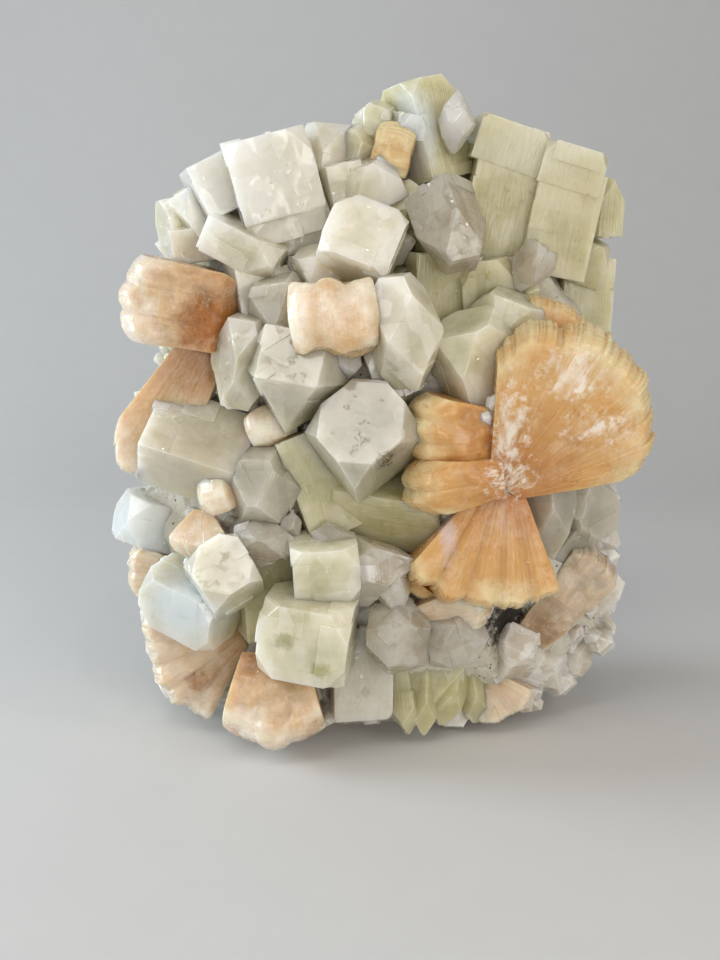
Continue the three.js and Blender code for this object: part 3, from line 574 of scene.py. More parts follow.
# [name, finish, how light it is with 0.5 as usual, bodies]
# crystal(middle, [half across, half deep, half long], [lean, nod, spin], [top cut, bottom cut], steps)
# lobe(middle of the root, [lean, nod, spin], [length, fan, blades], [half root across, half root deep],
#      [flare, gable, bow], ...)
PIECES = [
    ["centre_tip", MILKY, -1.7, crystal([-2.5, -31, 90.5], [11.5, 10.5, 10], [-8, 58, 32])],

    ["centre", MILKY, 0.5, [
        *crystal([7.3, -31, 117.5], [8, 7.6, 14.5], [-8, 6, 24], [0.72, 0.72]),
        *crystal([3.5, -21, 108], [6, 8, 8], [-18, 0, 12]),
    ]],

    ["centre_left", MILKY, -1.0, [
        *crystal([-20.5, -29, 107.5], [11, 10.5, 9], [-6, 62, 28], [0.5, 0]),
        *crystal([-34.5, -24, 109], [5.6, 7, 12], [8, 8, 32], [0.6, 0.6]),
        *crystal([-24, -20, 122], [8, 7.5, 9], [-14, 14, 32], [0.6, 0]),
    ]],

    ["lower_cube", YELLOW, 0.2, crystal([-16.9, -35, 37.5], [11.6, 10, 10.3], [7, 4, -9], [0.24, 0.24])],

    ["lower_yellow", YELLOW, 0.7, crystal([-12.8, -31, 54.5], [8.6, 8, 8], [-2, 8, 6], [0.22, 0.2])],

    ["lower_left", MILKY, 0.0, [
        *crystal([-39.8, -34, 53.4], [7.6, 7.6, 8], [4, 56, 38]),
        *crystal([-50, -23, 42.5], [12.4, 8.5, 8], [9, 18, -28], [0.2, 0.2]),
    ]],

    ["centre", BLUSH, 1.0, lobe(
        [-10, -21, 118], [-2, 76, 4], [18, 14, 3], [7, 7.4], [6, 26, 0.18],
        groove=0.4, swell=1, lumps=1.4, blading=0.25,
    )],

    ["right_bow_tie", PEACH, 0.5, [
        *lobe([34.5, -27, 77.5], [40, 4, 0], [43, 38, 4], [5, 6.5], [5, 28, 0.34], groove=0.6, swell=1.6),
        *lobe(
            [32.5, -26, 90.5], [-85, 6, 0], [20.5, 8, 3], [6.6, 6.5], [5, 28, 0.22],
            groove=0.5, swell=1.2, lumps=1.4, blading=0.4,
        ),
        *lobe(
            [33, -27.5, 79.5], [-97, 8, 0], [21.5, 7, 2], [5.2, 7], [5, 28, 0.24],
            groove=0.6, swell=1.4, lumps=1.4, blading=0.4,
        ),
        *lobe([33.5, -27, 75], [-170, 6, 0], [29.5, 31, 5], [6.5, 6], [7, 22, 0.12], groove=1.5, swell=0.8),
    ]],

    ["lower_glassy", GLASSY, 1.7, [
        *crystal([2.5, -30, 54.5], [7.4, 7.4, 9.8], [74, 22, 30], [0.9, 0]),
        *crystal([5.4, -31, 47.5], [4.2, 4.2, 6], [170, 16, 24], [0.85, 0]),
    ]],

    ["lower_clear", GLASSY, 0.5, crystal([6.8, -31, 35.5], [8.4, 7.5, 9], [-32, 22, 24], [0.62, 0.5])],

    ["centre_top", MILKY, 1.0, [
        *crystal([-2.6, -22, 139.5], [9.6, 8.6, 8.5], [8, 64, -14], [0.22, 0]),
        *crystal([-15.5, -18, 133.5], [4.2, 6, 4.6], [-20, 20, 20], [0.4, 0]),
    ]],

    ["right_pale", YELLOW, 0.5, [
        *crystal([27, -22, 110.5], [9.6, 8.5, 10], [-20, 18, 24], [0.4, 0]),
        *crystal([37, -14, 119], [9, 8, 7], [18, 14, 30], [0.4, 0]),
    ]],

    ["included", GLASSY, 0.0, crystal([21.6, -28, 35.5], [8.6, 7, 6.4], [-14, 14, 14], [0.5, 0.3])],

    ["left_round", MILKY, -1.5, crystal([-29.5, -25.5, 76.5], [8, 7.6, 9], [-6, 16, 30], [0.6, 0.5])],

    ["upper_left", MILKY, 0.6, [
        *crystal([-27.3, -10.5, 157.4], [11, 11, 10.6], [-14, 6, 8], [0.3, 0], [
            [[0.5, 2, -8.5], [10.6, 11, 8]],
            [[3.5, 4, -13], [8.6, 10, 8]],
        ]),
        *crystal([-41.5, -7, 155], [7.2, 8, 7.4], [-26, 4, 16], [0, 0]),
        *crystal([-34, -15, 139], [4.8, 7, 10.5], [117, 8, 12], [0.4, 0]),
        *crystal([-32, -13, 127], [6, 7, 9], [-8, 0, 20], [0.2, 0]),
    ]],

    ["hanging", GLASSY, -0.3, crystal([20.2, -17, 143.5], [6.8, 6.8, 11], [161, 26, 30], [0.62, 0])],

    ["left_striated", MILKY, 0.2, crystal([-48, -16, 83.5], [9.8, 9.8, 14], [107, 4, 45], [0.12, 0.1])],

    ["lower_middle", GREEN, 0.5, [
        *crystal([-14.5, -17, 76], [9.4, 9, 14.5], [-20, 0, 16], [0, 0]),
        *crystal([4.6, -18, 69], [9, 9, 14.5], [98, 8, 28]),
    ]],

    ["left_edge_bright", MILKY, 0.5, crystal([-62.5, -5, 61], [10, 8, 6.8], [20, 0, 24], [0.3, 0.3])],

    ["small_long", GLASSY, 0.5, crystal([-29.2, -29, 61.2], [4.7, 4.7, 8], [98, 6, 30], [0.62, 0.6])],
    ["small_stub", GLASSY, 0.5, crystal([-22.4, -28, 65.5], [2.7, 2.7, 4.2], [20, 30, 20], [0.8, 0])],
    ["small_pointed", GLASSY, 0.5, crystal([-10.2, -29, 62], [3.4, 3.4, 5.6], [84, 10, 45], [0.9, 0.5])],

    ["lower_green_back", GREEN, 0.5, crystal([-31, -18, 45], [7, 8, 13], [-4, 0, 20], [0.2, 0])],

    ["lower_prism", MILKY, -0.8, crystal([-4.2, -21, 22.5], [8.2, 8, 13.2], [0, -4, 10], [0, 0.1])],

    ["right_tip", MILKY, -1.6, [
        *crystal([48.6, -19, 63.5], [6.6, 6.4, 10], [172, 6, 40], [0.95, 0]),
        *crystal([60, -8, 66.5], [7.4, 7, 8], [-18, 8, 30], [0.4, 0.3]),
        *crystal([57, -10, 57], [4, 5, 7], [36, 0, 20], [0.4, 0]),
    ]],

    ["lower_right_sparkle", SPARKLE, 0.5, [
        *crystal([40.8, -17, 26.2], [5.6, 5.6, 6.5], [14, 42, 30], [0.5, 0]),
        *crystal([33.5, -14, 24], [4, 5, 7], [-30, 10, 20], [0.4, 0]),
        *crystal([49, -9, 20], [8, 5, 5], [28, 26, 16], [0.5, 0]),
    ]],

    ["lower_spikes", GREEN, 0.5, [
        *crystal([9.2, -22, 13], [3.6, 3.6, 10], [172, 10, 20], [0.95, 0]),
        *crystal([14.6, -21, 13], [4, 4, 10.5], [180, 14, 42], [0.95, 0]),
        *crystal([21, -19, 16], [5.5, 5, 11.5], [187, 8, 30], [0.9, 0]),
        *crystal([17, -17, 21], [10, 8, 9], [182, 4, 10], [0.5, 0]),
        *crystal([29, -15, 12], [4.4, 4.4, 8.5], [168, 8, 36], [0.8, 0]),
    ]],

    ["lower_lump", BLUSH, 0.5, lobe(
        [-27, -24, 27.5], [180, 24, 0], [20.5, 16, 3], [8.6, 8], [8, 26, 0.2],
        groove=0.8, swell=1.5, lumps=2, blading=0.3,
    )],

    ["left_bow_tie", BLUSH, 0.5, [
        *lobe(
            [-36.5, -14, 121], [-80, 8, 0], [28, 2, 3], [10.4, 7.5], [4, 24, 0.12],
            groove=0.8, swell=2, lumps=2.2, butt=7, blading=0.3,
        ),
        *lobe([-45, -11, 113], [-149, 0, 0], [41, 8, 2], [6.4, 5], [4, 24, 0.25], groove=0.7, swell=1),
    ]],

    ["lower_right_blade", PALE, -0.8, lobe(
        [46, -9, 28], [37, 4, 0], [31, 5, 2], [5.4, 5], [3, 18, 0.06],
        groove=0.6, swell=0.6, lumps=1.6,
    )],

    ["behind_top", PEACH, 0.5, lobe([44, -13, 106], [16, 4, 0], [17.5, 34, 2], [3, 4], [6, 24, 0.14])],

    ["lower_left_blades", PALE, 0.5, lobe(
        [-38, -11, 30], [-118, 6, 0], [25, 34, 5], [4, 5], [7, 24, 0.08],
        groove=1.2, lumps=1.4,
    )],

    ["lens", PALE, 0.5, lobe([12, -26, 40], [78, 8, 0], [18, 16, 1], [3, 4.6], [3, 30, 0.2])],

    ["amber_chunk", PEACH, 0.5, lobe([16, -24, 56], [176, 8, 10], [11, 28, 2], [2.6, 4], [5, 20, 0.15])],

    ["cream_small", PALE, 0.5, lobe([-45.5, -20, 66], [186, 38, 20], [11, 36, 2], [2.6, 4], [8, 20, 0.12])],

    ["left_lump", BLUSH, 0.5, lobe(
        [-36.5, -17, 74], [-70, 40, 30], [11, 36, 2], [2.8, 4.6], [8, 20, 0.12],
        lumps=1, blading=0.3,
    )],

    ["middle_small", BLUSH, 0.5, lobe(
        [-27.5, -16, 89], [0, 66, 20], [9, 30, 1], [2.4, 4], [6, 18, 0.12],
        lumps=1, blading=0.3,
    )],

    ["top_small", PEACH, 0.5, lobe([5, 2, 161], [4, 70, 80], [12, 26, 2], [2.6, 4], [6, 20, 0.12])],

    ["left_edge_bit", PALE, 0.5, lobe([-56, -6, 47], [-88, 8, 0], [13, 30, 2], [2.6, 4], [6, 22, 0.12])],

    ["bottom_small", PALE, 0.5, lobe([33, -12, 17], [146, 10, 0], [13, 30, 2], [3, 4], [6, 20, 0.12])],

    ["top_glassy", GLASSY, 1.9, crystal([22.6, -2.5, 171.9], [4.1, 4.6, 8.3], [4, 4, 22], [0.95, 0.9])],

    ["top_small", YELLOW, 0.5, [
        *crystal([1, 2, 171.5], [5.6, 6, 5.8], [18, 22, 30], [0.62, 0.5]),
        *crystal([-4.3, -2, 166.5], [4.8, 5.5, 4.4], [-22, 22, 12], [0.7, 0]),
    ]],

    ["top_striated", GREEN, 0.5, [
        *crystal([14.5, 6.5, 170], [8, 8, 13.5], [-15, 0, 38]),
        *crystal([9.4, -2, 170.5], [3.8, 4.2, 3.2], [10, 0, 20]),
    ]],

    ["upper_right", GREEN, -0.1, [
        *crystal([36.9, 7.5, 166.4], [9.4, 10.5, 6], [18, 2, 3], [0.12, 0]),
        *crystal([54.4, 6, 159.8], [8.9, 10.5, 5.6], [16, 2, 2], [0.12, 0]),
        *crystal([34.8, 9, 148], [9, 12, 15.5], [10, 0, 4], [0, 0]),
        *crystal([52, 8.6, 145], [9, 12, 14.5], [11, 0, 3], [0, 0]),
    ]],

    ["top_grey", MILKY, 0.5, [
        *crystal([-9.4, -4.5, 154], [5, 8, 7], [-12, 8, 18], [0, 0]),
        *crystal([-1.4, -6, 155.5], [7.4, 8, 6], [-22, 14, 10], [0.4, 0]),
        *crystal([-11.5, 3, 163.5], [8, 9, 7], [8, -8, 34], [0.4, 0]),
    ]],

    ["left_edge_small", MILKY, 0.5, [
        *crystal([-47, -4, 149.5], [7.4, 7, 6.4], [-34, 8, 20], [0.4, 0]),
        *crystal([-54, -1, 146], [4.4, 6, 6], [-12, 0, 30], [0.4, 0]),
        *crystal([-49, -5, 140], [7.4, 6, 4.6], [-6, 10, 16], [0, 0]),
    ]],

    ["small_clear_right", GLASSY, 0.5, crystal([43, -10, 133], [4, 4, 6.8], [32, 8, 32], [0.3, 0.8])],

    ["right_edge", GREEN, 0.5, [
        *crystal([65, 10, 149.5], [4.4, 6.2, 8], [2, 0, 28], [0.5, 0]),
        *crystal([61.5, 9, 135], [4.6, 6, 6], [20, 14, 12], [0.4, 0]),
        *crystal([60.6, 13, 123], [7.8, 7, 12.5], [3, -4, 12], [0, 0.2]),
    ]],

    ["green_middle", GREEN, 0.1, [
        *crystal([18, -4, 127], [9.4, 8, 9.5], [4, 0, 18], [0, 0]),
        *crystal([30.6, -3, 126], [7.2, 8, 9.5], [-6, 4, 10]),
        *crystal([50.5, 3, 127], [8.4, 8, 11], [8, 0, 24], [0, 0]),
    ]],

    ["brown_glassy", GLASSY, 0.5, crystal([16.5, -12, 101], [7.4, 7, 9], [20, 0, 10], [0, 0])],

    # crystals that line the sides and the top edge
    ["side_left_upper", MILKY, 0.5, [
        *crystal([-50, 14, 122], [9, 8, 9], [-58, -4, 30], [0.4, 0]),
        *crystal([-54, 18, 136], [6, 6, 7], [-40, -16, 10], [0, 0]),
    ]],
    ["side_left_lower", MILKY, 0.5, [
        *crystal([-54, 14, 78], [8.5, 8, 9], [-82, -10, 24], [0.4, 0]),
        *crystal([-56, 10, 96], [6.5, 6, 8], [-66, 4, 40], [0.5, 0]),
    ]],
    ["side_right", GREEN, 0.5, [
        *crystal([62, 20, 98], [8.5, 8, 9], [84, -6, 20], [0.4, 0]),
        *crystal([62, 14, 84], [6.5, 6, 8], [96, 6, 38], [0.5, 0]),
    ]],
    ["top_back", MILKY, 0.5, [
        *crystal([-32, 18, 154], [9, 8, 9], [-24, -30, 22], [0.4, 0]),
        *crystal([-16, 22, 160], [7, 7, 8], [-8, -34, 40], [0, 0]),
    ]],
]


# ---------------------------------------------------------------- finishes


class Signal:
    """A node's output. Arithmetic on it adds the math node that works it out."""

    def __init__(self, finish, socket):
        self.finish = finish
        self.socket = socket

    def combine(self, operation, other):
        combine = self.finish.math if self.socket.type == "VALUE" else self.finish.vector
        return combine(operation, self, other)

    def __add__(self, other):
        return self.combine("ADD", other)

    def __sub__(self, other):
        return self.combine("SUBTRACT", other)

    def __mul__(self, other):
        return self.combine("MULTIPLY", other)

    def __truediv__(self, other):
        return self.combine("DIVIDE", other)


class Finish:
    """A material's node tree with short calls: a signal, number or colour goes straight into an input."""

    def __init__(self, name):
        self.material = bpy.data.materials.new(name)
        self.material.use_nodes = True
        self.tree = self.material.node_tree
        self.tree.nodes.clear()

    def fill(self, socket, value):
        if isinstance(value, Signal):
            self.tree.links.new(value.socket, socket)
        elif socket.type == "RGBA":
            socket.default_value = (*value, 1.0)
        else:
            socket.default_value = value

    def node(self, kind, inputs, **settings):
        made = self.tree.nodes.new(kind)
        for key, value in settings.items():
            setattr(made, key, value)
        for key, value in inputs.items():
            self.fill(made.inputs[key], value)
        return made

    def signal(self, kind, inputs, output=0, **settings):
        return Signal(self, self.node(kind, inputs, **settings).outputs[output])

    def math(self, operation, one, other=0.0, clamp=False):
        return self.signal("ShaderNodeMath", {0: one, 1: other}, operation=operation, use_clamp=clamp)

    def vector(self, operation, one, other=(0.0, 0.0, 0.0)):
        output = "Value" if operation in ("DOT_PRODUCT", "LENGTH") else "Vector"
        inputs = {0: one, 3 if operation == "SCALE" else 1: other}
        return self.signal("ShaderNodeVectorMath", inputs, output, operation=operation)

    def place(self):
        """The place in the part, in mm."""
        return self.signal("ShaderNodeTexCoord", {}, "Object") * (1000, 1000, 1000)

    def noise(self, place, scale, detail=4.0, roughness=0.55, distortion=0.0):
        inputs = {"Vector": place, "Scale": scale, "Detail": detail, "Roughness": roughness}
        return self.signal("ShaderNodeTexNoise", {**inputs, "Distortion": distortion}, "Fac")

    def cells(self, place, scale, output="Color", feature="F1"):
        return self.signal("ShaderNodeTexVoronoi", {"Vector": place, "Scale": scale}, output, feature=feature)

    def ramp(self, value, low, high):
        inputs = {"Value": value, "From Min": low, "From Max": high}
        return self.signal("ShaderNodeMapRange", inputs, "Result")

    def blend(self, share, one, other):
        made = self.node("ShaderNodeMix", {}, data_type="RGBA")
        for key, value in (("Factor", share), ("A", one), ("B", other)):
            self.fill(next(socket for socket in made.inputs if socket.name == key and socket.enabled), value)
        return Signal(self, next(socket for socket in made.outputs if socket.enabled))

    def attribute(self, name, output="Vector"):
        return self.signal("ShaderNodeAttribute", {}, output, attribute_name=name)

    def parts(self, vector):
        made = self.node("ShaderNodeSeparateXYZ", {0: vector})
        return [Signal(self, socket) for socket in made.outputs]

    def bump(self, height, strength, distance):
        return self.signal("ShaderNodeBump", {"Height": height, "Strength": strength, "Distance": distance})

    def end(self, inputs, absorption=None):
        surface = self.signal("ShaderNodeBsdfPrincipled", inputs)
        output = self.node("ShaderNodeOutputMaterial", {"Surface": surface})
        if absorption:
            volume = self.signal("ShaderNodeVolumeAbsorption", dict(zip(("Color", "Density"), absorption)))
            self.fill(output.inputs["Volume"], volume)
        return self.material


GLINTS = 1.5  # small facets a millimetre
GLINT_TIP = 0.6  # how far the small facets tip out of a crystal's face
FACET_TIP = 0.3  # how far the larger facets of a flawed crystal tip out of its face
MIDDLE_GREY = (0.5, 0.5, 0.5)  # the mean of the cells' random colours
SHADE_WAY = (0.15, 1.0, -0.25)  # the way to the back and down, along which a crystal is painted darker and greener, as shade
VEIL_DEPTH = 14.0  # how far light goes into an apophyllite crystal, mm
BLADE_DEPTH = 6.0  # and into a stilbite blade
APOPHYLLITE_IOR = 1.535
STILBITE_IOR = 1.5
# paler edges, worn and partly a painted highlight
WORN_AND_HIGHLIGHT_WHITE = (0.92, 0.92, 0.89)
CHALK_WHITE = (0.88, 0.82, 0.73)
FLAW_AND_REFLECTION_WHITE = (1.0, 0.99, 0.96)


def spots(finish, place, places, wander=0.45):
    """1 inside any of some (middle, half sizes) ellipsoids in mm, with a ragged edge, and 0 outside."""
    ragged = (finish.noise(place, 0.45, 3.0, 0.7) - 0.5) * (4 * wander)
    inside = None
    for middle, half in places:
        away = finish.vector("LENGTH", (place - middle) / half)
        ball = finish.ramp(away + ragged, 1.05, 0.45)
        inside = ball if inside is None else finish.math("MAXIMUM", inside, ball)
    return inside


def grown_frame(finish):
    """The place in mm, the place from the crystal's own middle, and its c axis."""
    place = finish.place()
    return place, place - finish.attribute("seat"), finish.attribute("axis")


def drawn_out(finish, spot, axis, keep):
    """A place squeezed along an axis, so that a noise read there is drawn out along it."""
    along = finish.vector("DOT_PRODUCT", spot, axis)
    return spot - finish.vector("SCALE", axis, along * (1 - keep))


def glinting(finish, normal, place, share, tip):
    """A normal with small facets tipped out of the surface in patches, which catch the light one by one."""
    patch = finish.ramp(finish.noise(place, 0.22, 2.0, 0.7), 0.62 - share, 0.72 - share)
    tipped = finish.vector("SCALE", finish.cells(place, GLINTS) - MIDDLE_GREY, patch * tip)
    return finish.vector("NORMALIZE", normal + tipped)


def apophyllite(name, core, veil, shaded_colour, flaws_and_reflections, see_through=0.0, absorption=None, shine=0.3, coat=0.8,
                stripes=0.0, waves=0.22, tints_and_painted_light=(), stains=(), milk=0.9, glints=0.03):
    """Apophyllite: a core colour with milky veils, painted light at the corners, painted yellow-green shade
    towards the back and the bottom, worn paler edges that are partly a painted highlight, and fine lines.

    flaws is how far clear facets show inside, painted as pale and dark patches of reflection, and milk how
    much light scatters under the surface.
    """
    finish = Finish(name)
    place, spot, axis = grown_frame(finish)
    rim_mark, kind, tone = finish.parts(finish.attribute("mark"))
    size = finish.attribute("size", "Fac")
    # the colour, from the core and the veils, paler at the corners as painted light, and darker and greener
    # towards the back and the bottom as painted shade
    # painted light: a crystal is paler towards its corners, where its edges catch light inside
    corner = finish.ramp(finish.vector("LENGTH", spot) / size, 1.0, 1.55)
    along = finish.vector("DOT_PRODUCT", spot, axis) + size * 9.0
    band = finish.signal(
        "ShaderNodeTexNoise", {"W": along, "Scale": 0.5, "Detail": 2.0, "Roughness": 0.6}, "Fac",
        noise_dimensions="1D",
    )
    veils = finish.ramp(finish.noise(place, 0.08, 3.0, 0.6), 0.34, 0.66)
    veils = finish.math("ADD", veils * 0.7 + corner * 0.35 + (band - 0.5) * 0.25, 0.18, clamp=True)
    # painted shade: darker and yellow-green towards the back and the bottom, where less light reaches
    painted_shade = finish.ramp(finish.vector("DOT_PRODUCT", spot, SHADE_WAY) / size, -0.5, 1.1)
    colour = finish.blend(painted_shade * 0.85, finish.blend(veils, core, veil), shaded_colour)
    # cracks, and the facets of flaws inside, with pale and dark patches of painted reflection
    cracks = finish.ramp(finish.cells(place, 0.13, "Distance", "DISTANCE_TO_EDGE"), 0.035, 0.0)
    colour = finish.blend(cracks * finish.ramp(veils, 1.0, 0.3) * 0.25, colour, veil)
    facets = finish.cells(drawn_out(finish, place, axis, 0.5), 0.28)
    pale, _, dark = finish.parts(facets)
    # painted reflections: pale and dark angular patches, as light reflected inside
    colour = finish.blend(finish.ramp(pale, 0.55, 1.0) * flaws_and_reflections, colour, FLAW_AND_REFLECTION_WHITE)
    colour = finish.blend(finish.ramp(dark, 0.6, 1.0) * flaws_and_reflections, colour, core)
    # tints in places, among them painted light: bluish reflections of the window and a highlight on the top
    # clear crystal
    for paler, places, strength in tints_and_painted_light:
        colour = finish.blend(spots(finish, place, places, 0.2) * strength, colour, paler)
    colour = finish.vector("SCALE", colour, tone * 0.16 + 0.9)
    # what has rubbed or grown on the surface, with paler worn edges that are partly a painted highlight
    rubbed = finish.noise(place, 0.5, 2.0, 0.6)
    # paler worn edges, partly standing in for the bright highlights along them: painted highlight
    worn = rim_mark * (finish.ramp(rubbed, 0.35, 0.6) * 0.2)
    colour = finish.blend(worn, colour, WORN_AND_HIGHLIGHT_WHITE)
    for stain, places, grain, strength in stains:
        inside = spots(finish, place, places) * strength
        if grain:
            inside = inside * finish.ramp(finish.noise(place, 1 / grain, 2.0), 0.44, 0.5)
        colour = finish.blend(inside, colour, stain)
    height = finish.noise(spot, 0.16, 1.0) * waves
    if stripes:
        grooves = finish.noise(drawn_out(finish, spot, axis, 0.03), 2.2, 2.0, 0.6)
        height = height + grooves * finish.ramp(kind, 0.3, 0.0) * stripes
    normal = finish.bump(height, 0.7, 1.0 * MM)
    normal = finish.vector("NORMALIZE", normal + (facets - MIDDLE_GREY) * ([FACET_TIP * flaws_and_reflections] * 3))
    normal = glinting(finish, normal, place, glints, GLINT_TIP)
    rough = finish.math("ADD", finish.ramp(rubbed, 0.3, 0.7) * 0.16 + shine, worn * 0.4, clamp=True)
    return finish.end({
        "Base Color": colour,
        "Roughness": rough,
        "IOR": APOPHYLLITE_IOR,
        "Transmission Weight": see_through,
        "Subsurface Weight": milk,
        "Subsurface Radius": (1.0, 0.96, 0.8),
        "Subsurface Scale": VEIL_DEPTH * MM,
        "Normal": normal,
        "Coat Weight": coat,
        "Coat Roughness": 0.04,
        "Coat IOR": APOPHYLLITE_IOR,
        "Coat Normal": normal,
    }, absorption)


def stilbite(name, root, body, tip, chalk=(), patches=0.3, stains=(), grain=0.06):
    """Stilbite: translucent blades, orange at the root, paler at the rim and chalky where rubbed."""
    finish = Finish(name)
    place, spot, axis = grown_frame(finish)
    near_rim, _, tone = finish.parts(finish.attribute("mark"))
    outward = near_rim + (finish.noise(place, 0.09, 3.0, 0.6) - 0.5) * 1.1
    colour = finish.blend(finish.ramp(outward, 0.0, 0.65), root, body)
    colour = finish.blend(finish.ramp(outward, 0.8, 1.1), colour, tip)
    fine = finish.noise(drawn_out(finish, spot, axis, grain), 1.3, 3.0, 0.65)
    colour = finish.blend(finish.ramp(fine, 0.5, 0.72) * 0.1, colour, tip)
    colour = finish.vector("SCALE", colour, tone * 0.12 + 0.94)
    rubbed = finish.ramp(finish.noise(place, 0.13, 4.0, 0.7), 0.5, 0.8) * patches
    if chalk:
        streaked = spots(finish, place, chalk, 0.8) * finish.ramp(fine, 0.38, 0.6)
        rubbed = finish.math("MAXIMUM", rubbed, streaked * 0.85)
    colour = finish.blend(rubbed, colour, CHALK_WHITE)
    for stain, places, strength in stains:
        colour = finish.blend(spots(finish, place, places, 0.3) * strength, colour, stain)
    normal = finish.bump(fine * (rubbed * 1.5 + 0.5), 0.4, 0.3 * MM)
    rough = finish.math("ADD", finish.ramp(fine, 0.3, 0.7) * 0.16 + 0.16, rubbed * 0.35, clamp=True)
    return finish.end({
        "Base Color": colour,
        "Roughness": rough,
        "IOR": STILBITE_IOR,
        "Subsurface Weight": 0.75,
        "Subsurface Radius": (1.0, 0.6, 0.3),
        "Subsurface Scale": BLADE_DEPTH * MM,
        "Normal": glinting(finish, normal, place, 0.08, 0.7),
    })


def basalt(name):
    """Basalt behind, and a pale crust of small crystals on it where it faces the front."""
    finish = Finish(name)
    place = finish.place()
    broad = finish.noise(place, 0.05, 5.0, 0.65, 0.8)
    fine = finish.noise(place, 0.6, 5.0, 0.7)
    colour = finish.blend(finish.ramp(broad, 0.35, 0.65), (0.15, 0.125, 0.105), (0.30, 0.27, 0.235))
    colour = finish.blend(finish.ramp(fine, 0.35, 0.7), colour, (0.40, 0.35, 0.295))
    _, behind, _ = finish.parts(place)
    crust = finish.noise(place, 0.085, 7.0, 0.72, 0.5) + finish.ramp(behind, 14.0, -8.0) * 0.3
    crust = finish.ramp(crust, 0.5, 0.63)
    pale = finish.blend(finish.ramp(broad, 0.4, 0.6), (0.72, 0.70, 0.62), (0.66, 0.62, 0.5))
    colour = finish.blend(crust * 0.9, colour, pale)
    specks = finish.ramp(finish.cells(place, 0.42, "Distance"), 0.2, 0.08)
    colour = finish.blend(specks, colour, (0.045, 0.04, 0.035))
    # painted shade: the rock in the hollow below the big sheaf is made near black
    colour = finish.blend(spots(finish, place, CAVITY), colour, (0.02, 0.016, 0.014))
    return finish.end({
        "Base Color": colour,
        "Roughness": finish.math("SUBTRACT", 0.92, crust * 0.35),
        "Normal": finish.bump(finish.noise(place, 1.2, 3.0, 0.75), 0.8, 0.8 * MM),
    })


# places with a colour of their own, or with painted light or shade: (middle, half sizes), mm
CAVITY = (((38, -15, 34), (10, 16, 10)),)  # the hollow below the big sheaf, whose rock is painted near black as shade
CHALK = (  # rubbed white places on the big sheaf
    ((35, -35, 93), (5, 9, 14)), ((35, -34, 80), (7, 9, 6)),
    ((50.5, -38, 108), (9, 9, 7.5)), ((57, -36, 94), (10, 9, 4.5)),
)
DARK_SPECKS = (((3.1, -38, 86), (3, 14, 3.4)),)
GREEN_SPOTS = (((-23.1, -46, 38.8), (3.4, 6, 3)), ((-14.1, -46, 31.1), (3.4, 6, 2.4)))
# a bluish painted reflection of the window light along the left rim
LEFT_RIM = (((-64, -10, 62), (15, 30, 13)), ((-50, -28, 44), (15, 30, 12)))
# painted cool window light over the upper left crystals
UPPER_LEFT = (((-36, -18, 157), (24, 30, 20)),)
LEFT_SIDE = (((-45, -22, 82), (22, 30, 15)),)
# a painted bluish reflection of the window on one face of the top crystals
WINDOW_REFLECTION_FACE = (((11, 0, 168), (8, 20, 16)),)
CAPS = (((45, -5, 165), (22, 22, 8.5)),)
# a painted highlight over the clear crystal at the top
TOP_CLEAR = (((22.6, -2.5, 171.9), (7, 12, 11)),)
# deeper orange, partly the stilbite's own colour near the root and partly painted shade along the lower right
# edge of the left bow tie
DEEP_ORANGE = (((-42.5, -22, 118.5), (11, 14, 9.5)), ((-50, -15, 18), (4, 14, 4)))
HONEY = (((-10, -36, 113), (13, 14, 9)),)  # the lower face of the sheaf in the middle
LOWER_LOBE = (((-59, -12, 94), (8, 12, 14)),)
LILAC_FACE = (((19.6, -33, 64), (3, 9, 8)),)

